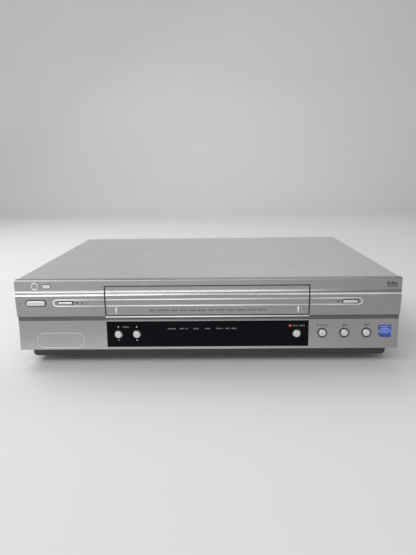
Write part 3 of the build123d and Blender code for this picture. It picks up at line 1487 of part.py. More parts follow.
def loading_motor():
    """The loading motor in its cradle at the edge of the deck."""
    x, z = worm_axis()
    y0 = motor_front()
    y1 = y0 + MOTOR_L
    cradle_half = MOTOR_R - CRADLE_SIDE
    body = rod_y(x, z, y0, y1, MOTOR_R) + rod_y(x, z, y0 - MOTOR_CLEAR / 2, y0, MOTOR_NOSE_R)
    return body + block(
        x - cradle_half, x + cradle_half, y0 + CRADLE_END, y1 - CRADLE_END,
        DECK_TOP, z - MOTOR_R / 2,
    )


def motor_shaft():
    """The thin motor shaft that carries the worm."""
    x, z = worm_axis()
    y0 = CAM_Y - WORM_HALF - MOTOR_SHAFT_OUT
    return rod_y(x, z, y0, motor_front() - MOTOR_CLEAR, MOTOR_SHAFT_R)


def tension_arm():
    """The back-tension lever with its post."""
    x, y = polar(TENSION_PIVOT_X, TENSION_PIVOT_Y, TENSION_REACH, TENSION_REST_DEG)
    arm = flat_arm(TENSION_PIVOT_X, TENSION_PIVOT_Y, x, y, ARM_HALF, ARM_LOW, ARM_T)
    arm -= drilled(TENSION_PIVOT_X, TENSION_PIVOT_Y, ARM_LOW, ARM_LOW + ARM_T, PIVOT_R + SNUG)
    return arm + upright(x, y, ARM_LOW, POST_TOP, POST_R)


def reel_brake(side):
    """A brake lever with a pad next to the reel disc."""
    x0, y0 = side * BRAKE_PIVOT_X, BRAKE_PIVOT_Y
    bearing = degrees(atan2(y0 - REEL_Y, x0 - side * REEL_X))
    reach = REEL_R + BRAKE_PAD_GAP + BRAKE_PAD_R
    x1, y1 = polar(side * REEL_X, REEL_Y, reach, bearing + side * BRAKE_PAD_TURN)
    low = ARM_LOW + ARM_T
    arm = flat_arm(x0, y0, x1, y1, BRAKE_PAD_R, low, ARM_T)
    arm += upright(x0, y0, ARM_LOW, low, ARM_HALF)
    arm += upright(x1, y1, low, REEL_LOW + REEL_DISC_T, BRAKE_PAD_R)
    return arm - drilled(x0, y0, ARM_LOW, low + ARM_T, PIVOT_R + SNUG)


def tape_head(x, y, turn):
    """A tape head on a small base, facing the tape."""
    low = DECK_TOP + HEAD_BASE_T
    body = Pos(0, 0, (low + HEAD_HIGH) / 2) * Box(HEAD_D, HEAD_W, HEAD_HIGH - low)
    body = fillet(body.edges().filter_by(Axis.Z).group_by(Axis.X)[0], HEAD_ROUND)
    return Pos(x, y, 0) * Rot(0, 0, turn) * (upright(0, 0, DECK_TOP, low, HEAD_BASE_R) + body)


def guide_posts():
    """Fixed posts that steer the tape, each with a foot and a flange."""
    group = Part()
    foot_top = DECK_TOP + POST_FOOT_H
    for x, y in POSTS:
        group += upright(x, y, DECK_TOP, foot_top, POST_R + POST_FOOT_STEP)
        group += upright(x, y, foot_top, POST_TOP, POST_R)
        group += upright(x, y, POST_TOP - POST_FLANGE_H, POST_TOP, POST_R + POST_FLANGE_STEP)
    return group


# The whole machine

def housing_parts():
    """Every sub-part of the housing and the electronics by its name."""
    return {
        "main_frame": main_frame(),
        "feet": feet(),
        "front_bezel": front_bezel(),
        "trim_strip": trim_strip(),
        "display_window": display_window(),
        "cassette_door": cassette_door(),
        "top_cover": top_cover(),
        "rear_panel": rear_panel(),
        "cover_screws": cover_screws(),
        "front_board": front_board(),
        "tact_switches": tact_switches(),
        "display_module": display_module(),
        "main_board": main_board(),
        "power_transformer": power_transformer(),
        "heat_sink": heat_sink(),
        "capacitors": capacitors(),
        "ic_chips": ic_chips(),
        "tuner_module": tuner_module(),
        "av_jack_block": av_jack_block(),
        "av_jack_barrels": av_jack_barrels(),
        "mains_inlet": mains_inlet(),
        **all_buttons(),
    }


def deck_parts():
    """Every sub-part of the tape deck by its name, about the deck's own middle."""
    return {
        "deck_plate": deck_plate(),
        "deck_screws": deck_screws(),
        "bracket_left": deck_bracket(-1),
        "bracket_right": deck_bracket(1),
        "carriage_slider": carriage_slider(),
        "cassette_holder": cassette_holder(),
        "drum_base": drum_base(),
        "upper_drum": upper_drum(),
        "supply_reel": reel(-REEL_X),
        "takeup_reel": reel(REEL_X),
        "idler_arm": idler_arm(),
        "idler_gear": idler_gear(),
        "capstan_bearing": capstan_bearing(),
        "capstan_motor": capstan_motor(),
        "capstan_flywheel": capstan_flywheel(),
        "pinch_arm": pinch_arm(),
        "pinch_roller": pinch_roller(),
        "supply_guide": tape_guide(1),
        "takeup_guide": tape_guide(-1),
        "cam_gear": cam_gear(),
        "worm": worm(),
        "motor_shaft": motor_shaft(),
        "loading_motor": loading_motor(),
        "tension_arm": tension_arm(),
        "supply_brake": reel_brake(-1),
        "takeup_brake": reel_brake(1),
        "erase_head": tape_head(ERASE_X, ERASE_Y, 180),
        "ac_head": tape_head(AC_X, AC_Y, 0),
        "guide_posts": guide_posts(),
    }


os.makedirs("parts", exist_ok=True)
for node, solid in housing_parts().items():
    export_step(solid, f"parts/{node}.step")
for node, solid in deck_parts().items():
    export_step(Pos(0, DECK_Y, 0) * solid, f"parts/{node}.step")
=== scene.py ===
import json
import math

import bmesh
import bpy
from mathutils import Matrix, Vector


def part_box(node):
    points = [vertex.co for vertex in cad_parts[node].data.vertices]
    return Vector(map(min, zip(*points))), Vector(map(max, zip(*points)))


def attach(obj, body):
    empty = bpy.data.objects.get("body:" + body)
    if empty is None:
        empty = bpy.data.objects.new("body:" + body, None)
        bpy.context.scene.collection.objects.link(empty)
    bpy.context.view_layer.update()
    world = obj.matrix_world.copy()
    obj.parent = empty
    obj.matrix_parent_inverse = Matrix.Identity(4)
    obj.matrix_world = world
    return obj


# Looks of the cassette player: finishes, printed marks, sticker, studio and camera.
# Sizes are millimetres, turned into metres by MM. +X is the viewer's right, the front faces -Y.

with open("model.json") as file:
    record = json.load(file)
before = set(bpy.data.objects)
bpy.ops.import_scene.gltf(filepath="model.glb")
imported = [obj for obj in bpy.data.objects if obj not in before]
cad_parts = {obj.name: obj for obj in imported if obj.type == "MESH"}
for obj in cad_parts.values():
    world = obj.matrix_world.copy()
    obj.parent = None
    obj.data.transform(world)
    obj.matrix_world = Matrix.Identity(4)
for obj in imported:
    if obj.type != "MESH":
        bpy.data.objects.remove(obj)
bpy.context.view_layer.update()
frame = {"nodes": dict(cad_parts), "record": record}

MM = 0.001
TOP_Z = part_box("front_bezel")[1].z / MM
FRONT_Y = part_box("front_bezel")[0].y / MM
BACK_PLATE_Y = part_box("rear_panel")[1].y / MM
SCREW_HEAD_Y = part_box("cover_screws")[1].y / MM

# Outline of the front, as insets behind the ridge and heights, the same as in the solid
BEZEL_LOW = 17.7
STRIP_LOW = 46.2
STRIP_HIGH = 50.8
RIDGE_FOOT = 70.4
LOWER_TIP_INSET = 1.2
LOWER_TOP_INSET = 3.0
LOWER_SAG = 0.5
MID_LOW_INSET = 1.4
MID_HIGH_INSET = 0.6
UPPER_INSET = 1.8
LEDGE_INSET = 1.0
DOOR_SHADE_INSET = 2.6
WINDOW_SINK = 0.5

# How far the flange behind a button of the solid reaches past its cap
FLANGE_OVER = 1.2

# Most values of a noise texture lie between these two
NOISE_LOW = 0.3
NOISE_HIGH = 0.7


# Material helpers

def new_material(name, colour, roughness, metallic=0.0, coat=0.0):
    """A material with its constant values on the shader itself."""
    material = bpy.data.materials.new(name)
    material.use_nodes = True
    tree = material.node_tree
    shader = tree.nodes["Principled BSDF"]
    shader.inputs["Base Color"].default_value = (*colour, 1.0)
    shader.inputs["Roughness"].default_value = roughness
    shader.inputs["Metallic"].default_value = metallic
    shader.inputs["Coat Weight"].default_value = coat
    return material, tree, shader


def place_socket(tree, stretch=(1, 1, 1)):
    """The place on the object in metres, stretched along each axis."""
    coordinates = tree.nodes.new("ShaderNodeTexCoord")
    mapping = tree.nodes.new("ShaderNodeMapping")
    mapping.inputs["Scale"].default_value = stretch
    tree.links.new(coordinates.outputs["Object"], mapping.inputs["Vector"])
    return mapping.outputs["Vector"]


def noise(tree, grain_mm, detail=2.0, stretch=(1, 1, 1)):
    """Noise with grains of about a size in millimetres."""
    texture = tree.nodes.new("ShaderNodeTexNoise")
    texture.inputs["Scale"].default_value = 1.0 / (grain_mm * MM)
    texture.inputs["Detail"].default_value = detail
    tree.links.new(place_socket(tree, stretch), texture.inputs["Vector"])
    return texture.outputs["Fac"]


def remap(tree, value, low, high, to_low, to_high):
    """A value moved from one range to another."""
    node = tree.nodes.new("ShaderNodeMapRange")
    node.inputs["From Min"].default_value = low
    node.inputs["From Max"].default_value = high
    node.inputs["To Min"].default_value = to_low
    node.inputs["To Max"].default_value = to_high
    tree.links.new(value, node.inputs["Value"])
    return node.outputs["Result"]


def blend_colours(tree, factor, first, second):
    """A colour between two, by a factor. Either colour may be a socket."""
    node = tree.nodes.new("ShaderNodeMix")
    node.data_type = "RGBA"
    tree.links.new(factor, node.inputs["Factor"])
    for socket, colour in ((node.inputs["A"], first), (node.inputs["B"], second)):
        if isinstance(colour, tuple):
            socket.default_value = (*colour, 1.0)
        else:
            tree.links.new(colour, socket)
    return node.outputs["Result"]


def add_bump(tree, shader, heights):
    """Bumps laid one over another: (height socket, depth in millimetres)."""
    normal = None
    for height, depth_mm in heights:
        node = tree.nodes.new("ShaderNodeBump")
        node.inputs["Distance"].default_value = depth_mm * MM
        node.inputs["Strength"].default_value = 1.0
        tree.links.new(height, node.inputs["Height"])
        if normal:
            tree.links.new(normal, node.inputs["Normal"])
        normal = node.outputs["Normal"]
    tree.links.new(normal, shader.inputs["Normal"])


def shade(colour, factor):
    """A colour made lighter or darker."""
    return tuple(min(1.0, channel * factor) for channel in colour)


def vary_roughness(tree, shader, roughness, spread, grain_mm, detail):
    """Roughness that differs a little from place to place."""
    wear = noise(tree, grain_mm, detail)
    rough = remap(tree, wear, NOISE_LOW, NOISE_HIGH, roughness - spread, roughness + spread)
    tree.links.new(rough, shader.inputs["Roughness"])


def vary(tree, shader, colour, roughness, cloud_mm, spread, uneven):
    """Faint clouds of colour by a share, and of roughness by an amount, as on handled surfaces."""
    clouds = remap(tree, noise(tree, cloud_mm, detail=4.0), NOISE_LOW, NOISE_HIGH, 0, 1)
    colours = blend_colours(tree, clouds, shade(colour, 1 - spread), shade(colour, 1 + spread))
    tree.links.new(colours, shader.inputs["Base Color"])
    vary_roughness(tree, shader, roughness, uneven, grain_mm=cloud_mm / 3, detail=5.0)
    return colours


# Finishes

# Flakes of the silver paint: the noise values between which they appear, and their shade
FLAKE_RANGE = (0.35, 0.7)
FLAKE_SHADE = 1.04

# Rubbed patches of the cover: x, y and radius, the share of the radius that is fully rubbed, and
# the shade and the noise values of their scratches
SCUFFS = ((89.7, -73.9, 8.0), (107.5, -38.0, 8.5), (94.4, -100.2, 3.0))
SCUFF_CORE = 0.3
SCUFF_SHADE = 0.70
SCRATCH_RANGE = (0.48, 0.60)


def silver_paint(name, colour, roughness, metallic):
    """Silver paint on moulded plastic: fine metal flakes under a satin film."""
    material, tree, shader = new_material(name, colour, roughness, metallic)
    base = vary(tree, shader, colour, roughness, cloud_mm=45, spread=0.03, uneven=0.008)
    flakes = noise(tree, 0.4, detail=1.0)
    sparkle = remap(tree, flakes, *FLAKE_RANGE, 0, 1)
    speckled = blend_colours(tree, sparkle, base, shade(colour, FLAKE_SHADE))
    tree.links.new(speckled, shader.inputs["Base Color"])
    add_bump(tree, shader, [(noise(tree, 14, detail=1.0), 0.006)])
    return material


def cover_paint(name, colour, roughness):
    """Thin satin paint on sheet steel, with fine orange peel and a few small scuffs."""
    material, tree, shader = new_material(name, colour, roughness, metallic=0.35)
    base = vary(tree, shader, colour, roughness, cloud_mm=80, spread=0.025, uneven=0.05)
    marks = scuff_mask(tree)
    scuffed = blend_colours(tree, marks, base, shade(colour, SCUFF_SHADE))
    tree.links.new(scuffed, shader.inputs["Base Color"])
    add_bump(tree, shader, [(noise(tree, 0.7), 0.012), (noise(tree, 30), 0.05)])
    return material


def scuff_mask(tree):
    """Where the cover's paint is rubbed: thin scratches in small round patches."""
    scratches = noise(tree, 1.6, 3.0, (1.0, 6.0, 1.0))
    sharp = remap(tree, scratches, *SCRATCH_RANGE, 0, 1)
    total = None
    for x, y, radius in SCUFFS:
        distance = tree.nodes.new("ShaderNodeVectorMath")
        distance.operation = "DISTANCE"
        tree.links.new(place_socket(tree), distance.inputs[0])
        distance.inputs[1].default_value = (x * MM, y * MM, TOP_Z * MM)
        edge = radius * MM
        patch = remap(tree, distance.outputs["Value"], SCUFF_CORE * edge, edge, 1, 0)
        both = tree.nodes.new("ShaderNodeMath")
        both.operation = "MULTIPLY"
        tree.links.new(patch, both.inputs[0])
        tree.links.new(sharp, both.inputs[1])
        if total is None:
            total = both.outputs["Value"]
            continue
        add = tree.nodes.new("ShaderNodeMath")
        add.operation = "ADD"
        add.use_clamp = True
        tree.links.new(total, add.inputs[0])
        tree.links.new(both.outputs["Value"], add.inputs[1])
        total = add.outputs["Value"]
    return total


def moulded_plastic(name, colour, roughness, grain_mm=0.5, depth_mm=0.02):
    """Moulded plastic with a fine spark-eroded grain."""
    material, tree, shader = new_material(name, colour, roughness)
    vary(tree, shader, colour, roughness, cloud_mm=40, spread=0.08, uneven=0.06)
    add_bump(tree, shader, [(noise(tree, grain_mm), depth_mm), (noise(tree, 25), 0.05)])
    return material


def gloss_plastic(name, colour, roughness, shine=0.5):
    """Polished plastic with faint wiping marks in its gloss."""
    material, tree, shader = new_material(name, colour, roughness)
    shader.inputs["Specular IOR Level"].default_value = shine
    vary(tree, shader, colour, roughness, cloud_mm=30, spread=0.05, uneven=0.03)
    add_bump(tree, shader, [(noise(tree, 22), 0.02)])
    return material


def rubber(name, colour, roughness):
    """Dull rubber with a dusty bloom."""
    material, tree, shader = new_material(name, colour, roughness)
    vary(tree, shader, colour, roughness, cloud_mm=8, spread=0.2, uneven=0.08)
    add_bump(tree, shader, [(noise(tree, 0.4, detail=3.0), 0.03)])
    return material


def metal(name, colour, roughness, stretch=(1, 1, 1), grain_mm=0.4, depth_mm=0.004):
    """Bare or plated metal, with a grain that can run one way."""
    material, tree, shader = new_material(name, colour, roughness, metallic=1.0)
    vary(tree, shader, colour, roughness, cloud_mm=25, spread=0.05, uneven=0.07)
    add_bump(tree, shader, [(noise(tree, grain_mm, 3.0, stretch), depth_mm)])
    return material


def painted_sheet(name, colour, roughness):
    """Powder-painted sheet metal."""
    material, tree, shader = new_material(name, colour, roughness)
    vary(tree, shader, colour, roughness, cloud_mm=35, spread=0.06, uneven=0.05)
    add_bump(tree, shader, [(noise(tree, 0.9), 0.03)])
    return material


def circuit_board(name, colour, roughness):
    """A varnished circuit board with paler tracks running across it."""
    material, tree, shader = new_material(name, colour, roughness, coat=0.2)
    tracks = tree.nodes.new("ShaderNodeTexBrick")
    tracks.inputs["Scale"].default_value = 1.0 / (9 * MM)
    tracks.inputs["Mortar Size"].default_value = 0.06
    tracks.inputs["Color1"].default_value = (*colour, 1.0)
    tracks.inputs["Color2"].default_value = (*shade(colour, 0.85), 1.0)
    tracks.inputs["Mortar"].default_value = (*shade(colour, 1.7), 1.0)
    tree.links.new(place_socket(tree), tracks.inputs["Vector"])
    tree.links.new(tracks.outputs["Color"], shader.inputs["Base Color"])
    vary_roughness(tree, shader, roughness, 0.06, grain_mm=12, detail=3.0)
    add_bump(tree, shader, [(tracks.outputs["Fac"], 0.03)])
    return material


def coil_winding(name, colour, roughness):
    """Varnished copper wire wound in fine turns."""
    material, tree, shader = new_material(name, colour, roughness, metallic=0.4, coat=0.5)
    wave = tree.nodes.new("ShaderNodeTexWave")
    wave.bands_direction = "Z"
    wave.inputs["Scale"].default_value = 1.0 / (2.4 * MM)
    wave.inputs["Distortion"].default_value = 0.4
    tree.links.new(place_socket(tree), wave.inputs["Vector"])
    colours = blend_colours(tree, wave.outputs["Fac"], shade(colour, 0.6), shade(colour, 1.3))
    tree.links.new(colours, shader.inputs["Base Color"])
    vary_roughness(tree, shader, roughness, 0.08, grain_mm=6, detail=3.0)
    add_bump(tree, shader, [(wave.outputs["Fac"], 0.2)])
    return material


def display_glass(name, colour, roughness):
    """The display's dark glass with its fine grid behind it."""
    material, tree, shader = new_material(name, colour, roughness, coat=0.6)
    vary(tree, shader, colour, roughness, cloud_mm=12, spread=0.2, uneven=0.03)
    add_bump(tree, shader, [(noise(tree, 15, detail=1.0), 0.01)])
    return material


def flat_ink(name, colour, roughness):
    """Printed ink, slightly uneven in its cover."""
    material, tree, shader = new_material(name, colour, roughness)
    vary(tree, shader, colour, roughness, cloud_mm=0.8, spread=0.10, uneven=0.05)
    add_bump(tree, shader, [(noise(tree, 0.15), 0.004)])
    return material


SILVER = (0.31, 0.305, 0.31)
FINISHES = {
    "front_silver": silver_paint("front_silver", SILVER, 0.26, 0.85),
    "button_silver": silver_paint("button_silver", (0.57, 0.57, 0.565), 0.26, 0.55),
    "groove_grey": moulded_plastic("groove_grey", (0.075, 0.075, 0.085), 0.5),
    # Pale silvers painted as highlights on the beads; the dimmer one is also the name plate's own
    # colour
    "painted_highlight_silver": silver_paint("painted_highlight_silver", (0.90, 0.895, 0.90), 0.30, 0.15),
    "soft_silver": silver_paint("soft_silver", (0.56, 0.555, 0.56), 0.34, 0.35),
    "window_black": gloss_plastic("window_black", (0.003, 0.0035, 0.005), 0.08, 0.05),
    "cover_paint": cover_paint("cover_paint", (0.465, 0.452, 0.441), 0.42),
    "tray_plastic": moulded_plastic("tray_plastic", (0.030, 0.030, 0.027), 0.55, 1.2, 0.02),
    "foot_rubber": rubber("foot_rubber", (0.02, 0.02, 0.02), 0.75),
    "rear_paint": painted_sheet("rear_paint", (0.03, 0.03, 0.03), 0.5),
    "screw_steel": metal("screw_steel", (0.52, 0.52, 0.53), 0.32),
    "board_green": circuit_board("board_green", (0.03, 0.12, 0.045), 0.35),
    "black_plastic": moulded_plastic("black_plastic", (0.018, 0.018, 0.018), 0.42),
    "deck_steel": metal("deck_steel", (0.55, 0.55, 0.52), 0.36, (1, 12, 1)),
    "drum_aluminium": metal("drum_aluminium", (0.78, 0.78, 0.79), 0.18, (1, 1, 18), 0.5),
    "white_plastic": moulded_plastic("white_plastic", (0.66, 0.64, 0.58), 0.42, 0.8, 0.01),
    "brown_coil": coil_winding("brown_coil", (0.26, 0.10, 0.035), 0.3),
    "capacitor_sleeve": gloss_plastic("capacitor_sleeve", (0.02, 0.03, 0.09), 0.25),
    "chrome_plate": metal("chrome_plate", (0.68, 0.68, 0.67), 0.22),
    "polished_steel": metal("polished_steel", (0.62, 0.62, 0.62), 0.14, (1, 1, 10)),
    "roller_rubber": rubber("roller_rubber", (0.015, 0.015, 0.015), 0.6),
    "brass": metal("brass", (0.62, 0.44, 0.16), 0.25, (1, 8, 1)),
    "display_glass": display_glass("display_glass", (0.02, 0.035, 0.035), 0.08),
}

for entry in frame["record"]["subparts"]:
    target = frame["nodes"][entry["node"]]
    target.data.materials.clear()
    target.data.materials.append(FINISHES[entry["material_slot"]])


# Where the faces lie

def lower_inset(z):
    """How far the lower face lies behind the ridge at a height."""
    share = (z - BEZEL_LOW) / (STRIP_LOW - BEZEL_LOW)
    chord = LOWER_TIP_INSET + share * (LOWER_TOP_INSET - LOWER_TIP_INSET)
    return chord + 4 * LOWER_SAG * share * (1 - share)


def mid_inset(z):
    """How far the middle face lies behind the ridge at a height."""
    share = (z - STRIP_HIGH) / (RIDGE_FOOT - STRIP_HIGH)
    return MID_LOW_INSET + share * (MID_HIGH_INSET - MID_LOW_INSET)


def window_inset(z):
    """How far the window's face lies behind the ridge at a height."""
    return lower_inset(z) + WINDOW_SINK


def upper_inset(_z):
    """How far the flat band above the cove lies behind the ridge."""
    return UPPER_INSET


def ledge_inset(_z):
    """How far the ledge under the door lies behind the ridge."""
    return LEDGE_INSET


def rear_inset(_z):
    """How far the back plate's outer face lies behind the ridge."""
    return BACK_PLATE_Y - FRONT_Y


def screw_inset(_z):
    """How far the heads of the rear screws lie behind the ridge."""
    return SCREW_HEAD_Y - FRONT_Y


def door_shade_inset(_z):
    """How far the painted shade in the gap round the door lies behind the ridge."""
    return DOOR_SHADE_INSET


def middle(node):
    """The middle of a solid seen from the front, as x and z."""
    low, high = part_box(node)
    return (low.x + high.x) / 2 / MM, (low.z + high.z) / 2 / MM


# Thin plates and their outlines

INK_THICK = 0.06
ROUND_POINTS = 28
GLYPHS = (1.0, 0.7, 0.7, 1.0, 0.7, 1.0, 0.7)
GLYPH_PITCH = 1.3
GLYPH_FILL = 0.7


def link_piece(name, bm, material, body):
    """A bmesh as a piece that rides on a body, with its faces turned outwards."""
    bmesh.ops.recalc_face_normals(bm, faces=bm.faces)
    mesh = bpy.data.meshes.new(name)
    bm.to_mesh(mesh)
    bm.free()
    piece = bpy.data.objects.new(name, mesh)
    bpy.context.scene.collection.objects.link(piece)
    mesh.materials.append(material)
    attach(piece, body)


def face_verts(bm, outline, inset, depth):
    """Points of an outline on a face, moved behind it by a depth."""
    return [bm.verts.new((x * MM, (FRONT_Y + inset(z) + depth) * MM, z * MM)) for x, z in outline]


def print_marks(name, outlines, inset, ink, body, thick=INK_THICK):
    """Thin closed plates with flat outlines, laid on a face."""
    bm = bmesh.new()
    for outline in outlines:
        front = face_verts(bm, outline, inset, -thick)
        back = face_verts(bm, outline, inset, thick)
        bm.faces.new(front)
        bm.faces.new(back[::-1])
        count = len(outline)
        for index in range(count):
            following = (index + 1) % count
            bm.faces.new((front[following], front[index], back[index], back[following]))
    link_piece(name, bm, ink, body)


def bar(x, z, width, height):
    """An upright rectangle about its middle."""
    w, h = width / 2, height / 2
    return [(x - w, z - h), (x + w, z - h), (x + w, z + h), (x - w, z + h)]


def disc(x, z, radius, points=20):
    """A round outline."""
    turns = [2 * math.pi * index / points for index in range(points)]
    return [(x + radius * math.cos(a), z + radius * math.sin(a)) for a in turns]


def cross(x, z, reach, half):
    """An upright cross: how far its arms reach and half their width."""
    corners = [(half, half), (half, reach), (-half, reach)]
    outline = []
    for _turn in range(4):
        outline += corners
        corners = [(-v, u) for u, v in corners]
    return [(x + u, z + v) for u, v in outline]


def arrow(x, z, size, towards):
    """A triangle that points right, left, up or down."""
    angle = {"right": 0.0, "up": 90.0, "left": 180.0, "down": 270.0}[towards]
    turns = [math.radians(angle + step) for step in (0, 120, 240)]
    return [(x + size * math.cos(a), z + size * math.sin(a)) for a in turns]


def ring_sector(x, z, radius, line, start, end, points=14):
    """Part of a ring, as one closed outline."""
    steps = [math.radians(start + (end - start) * index / (points - 1)) for index in range(points)]
    outer = [(x + radius * math.cos(a), z + radius * math.sin(a)) for a in steps]
    inner = [(x + (radius - line) * math.cos(a), z + (radius - line) * math.sin(a)) for a in steps]
    return outer + inner[::-1]


def bend(x, z, radius, start, end, points=9):
    """Points along part of a circle, in degrees."""
    turns = [math.radians(start + (end - start) * index / (points - 1)) for index in range(points)]
    return [(x + radius * math.cos(a), z + radius * math.sin(a)) for a in turns]


def stadium(x, z, width, height, points=13):
    """An outline with round ends."""
    radius = height / 2
    turn = width / 2 - radius
    right = bend(x + turn, z, radius, -90, 90, points)
    return right + bend(x - turn, z, radius, 90, 270, points)


def print_rings(name, rings, inset, ink, body, thick=INK_THICK):
    """Thin closed plates with a hole, each from an outer and an inner outline."""
    bm = bmesh.new()
    for outer, inner in rings:
        rows = [
            face_verts(bm, outline, inset, side * thick)
            for outline, side in ((outer, -1), (outer, 1), (inner, 1), (inner, -1))
        ]
        count = len(outer)
        for row, following_row in zip(rows, rows[1:] + rows[:1]):
            for index in range(count):
                following = (index + 1) % count
                bm.faces.new(
                    (row[index], row[following], following_row[following], following_row[index])
                )
    link_piece(name, bm, ink, body)


def glyph_row(x0, words, z, height, pitch=GLYPH_PITCH):
    """Groups of small upright bars in the place of printed words: each word is a count of bars."""
    bars = []
    x = x0
    width = pitch * GLYPH_FILL
    for word in words:
        for index in range(word):
            tall = height * GLYPHS[(word + index) % len(GLYPHS)]
            bars.append(bar(x + width / 2, z - (height - tall) / 2, width, tall))
            x += pitch
        x += pitch
    return bars


# Printed signs and the badge

INK_DARK = flat_ink("ink_dark", (0.03, 0.03, 0.035), 0.5)
INK_FAINT = flat_ink("ink_faint", (0.09, 0.088, 0.088), 0.5)
INK_PALE = flat_ink("ink_pale", (0.55, 0.55, 0.55), 0.5)
INK_SOFT = flat_ink("ink_soft", (0.16, 0.16, 0.16), 0.5)
INK_RED = flat_ink("ink_red", (0.75, 0.10, 0.06), 0.5)

# Where the signs stand, as x and z from the middle of their button
POWER_MARK = (-15.6, 0.0)
STOP_MARK = (10.9, 0.1)
EJECT_MARK = (15.6, 0.1)
PLAY_MARK = (-11.1, 0.2)
WIND_MARK = (0, 7.5)
CHANNEL_MARK = (0, 7.25)
CHANNEL_SIGN = (0, -5.65)
RECORD_DOT = (-6.4, 7.65)
RECORD_LEGEND = (-4.0, 7.65)

# How large the signs are, and how far their pieces stand from their place
POWER_RADIUS = 1.3
POWER_LINE = 0.35
POWER_ARC = (-240, 60)
POWER_BAR_UP = 1.0
STOP_SIDE = 1.7
EJECT_SIZE = 1.1
EJECT_UP = 0.2
EJECT_BAR = (1.9, 0.4)
EJECT_BAR_DOWN = 0.95
PLAY_SIZE = 1.25
PLAY_BAR = (1.0, 0.9)
PLAY_BAR_RIGHT = 2.2
PAUSE_BAR = (0.6, 1.9)
PAUSE_BARS_LEFT = (5.2, 4.0)
PAUSE_LEGEND_LEFT = 2.4
PAUSE_LEGEND_HEIGHT = 1.3
WIND_SIZE = 1.35
WIND_HALF_STEP = 1.2
CHANNEL_ARROW = 1.0
CHANNEL_STROKE = (1.4, 0.4)
RECORD_RADIUS = 1.1

# Rows of bars in the place of words, as their left ends and the bars in each word
CHANNEL_LEGEND = (-80.6, (5,))
RECORD_WORDS = (4, 4)
PAUSE_WORDS = (6,)
WINDOW_LEGEND_Z = 37.4
WINDOW_LEGENDS = (
    (-37.6, (6,)), (-26.0, (3, 2)), (-13.1, (4,)), (-2.2, (4,)), (8.5, (5,)), (17.5, (3, 4)),
)
WINDOW_GLYPH = 1.25
DOOR_LEGEND = (-54.2, (4, 8, 4, 4, 1, 3, 6, 4, 6, 5, 5, 6, 5))
DOOR_LEGEND_Z = 56.4
DOOR_GLYPH = (2.0, 1.5)

# Badge and name plate: middle, then radius or width and height. Their rings of painted shadow
# reach from a little outside the edge to a little inside it.
BADGE = (-160.8, 80.2, 4.0)
BADGE_RIM = (1.0, 0.7)
BADGE_RIM_IN = 0.8
BADGE_DISC_IN = 0.6
BADGE_DISC_THICK = 0.35
BADGE_SHADOW = (0.1, -0.5)
NAME_PLATE = (-149.7, 80.1, 7.6, 3.4)
NAME_PLATE_THICK = 0.5
NAME_PLATE_SHADOW = (1.0, -0.2)

# Format mark: its left end, and for each row the bars, the height above the feet, the bars' height
# and their pitch
FORMAT_MARK_X = 166.4
FORMAT_ROWS = (((5,), 81.0, 3.3, 2.0), ((8,), 78.1, 1.5, 1.25))


def beside(node, offset):
    """A place by a button: its middle moved by an offset."""
    x, z = middle(node)
    return x + offset[0], z + offset[1]


def front_marks():
    """Every printed sign on the silver front."""
    x, z = beside("power_button", POWER_MARK)
    signs = [ring_sector(x, z, POWER_RADIUS, POWER_LINE, *POWER_ARC)]
    signs.append(bar(x, z + POWER_BAR_UP, POWER_LINE, POWER_RADIUS))
    print_marks("mark_power", signs, mid_inset, INK_FAINT, "chassis")
    x, z = beside("stop_eject_button", EJECT_MARK)
    signs = [bar(*beside("stop_eject_button", STOP_MARK), STOP_SIDE, STOP_SIDE)]
    signs.append(arrow(x, z + EJECT_UP, EJECT_SIZE, "up"))
    signs.append(bar(x, z - EJECT_BAR_DOWN, *EJECT_BAR))
    print_marks("mark_stop_eject", signs, mid_inset, INK_DARK, "chassis")
    x, z = beside("play_button", PLAY_MARK)
    signs = [arrow(x, z, PLAY_SIZE, "right"), bar(x + PLAY_BAR_RIGHT, z, *PLAY_BAR)]
    print_marks("mark_play", signs, mid_inset, INK_DARK, "chassis")
    x, z = beside("pause_button", WIND_MARK)
    signs = [bar(x - left, z, *PAUSE_BAR) for left in PAUSE_BARS_LEFT]
    signs += glyph_row(x - PAUSE_LEGEND_LEFT, PAUSE_WORDS, z, PAUSE_LEGEND_HEIGHT)
    for node, towards in (("rewind_button", "left"), ("forward_button", "right")):
        x, z = beside(node, WIND_MARK)
        for step in (-WIND_HALF_STEP, WIND_HALF_STEP):
            signs.append(arrow(x + step, z, WIND_SIZE, towards))
    print_marks("mark_transport", signs, lower_inset, INK_DARK, "chassis")


def badge():
    """A plain round badge, a plain plate beside it and two rows of bars at the other end."""
    x, z, radius = BADGE
    rim = disc(x, z, radius - BADGE_RIM_IN, ROUND_POINTS)
    # The rim's pale silver is a painted highlight
    bead("badge_rim", rim, True, upper_inset, "chassis", *BADGE_RIM)
    print_marks(
        "badge_disc", [disc(x, z, radius - BADGE_DISC_IN, ROUND_POINTS)], upper_inset,
        FINISHES["front_silver"], "chassis", BADGE_DISC_THICK,
    )
    print_marks(
        "name_plate", [stadium(*NAME_PLATE)], upper_inset, FINISHES["soft_silver"],
        "chassis", NAME_PLATE_THICK,
    )
    px, pz, width, height = NAME_PLATE
    # Rings of painted shadow round the badge and the name plate
    rings = [
        tuple(disc(x, z, radius + more, ROUND_POINTS) for more in BADGE_SHADOW),
        tuple(stadium(px, pz, width + more, height + more) for more in NAME_PLATE_SHADOW),
    ]
    print_rings(
        "badge_painted_shadow", rings, upper_inset, FINISHES["black_plastic"], "chassis"
    )
    bars = []
    for words, level, tall, pitch in FORMAT_ROWS:
        bars += glyph_row(FORMAT_MARK_X, words, level, tall, pitch)
    print_marks("format_mark", bars, upper_inset, INK_DARK, "chassis")


# Painted shade: dark plates in the gaps round the door and round the buttons of the silver front

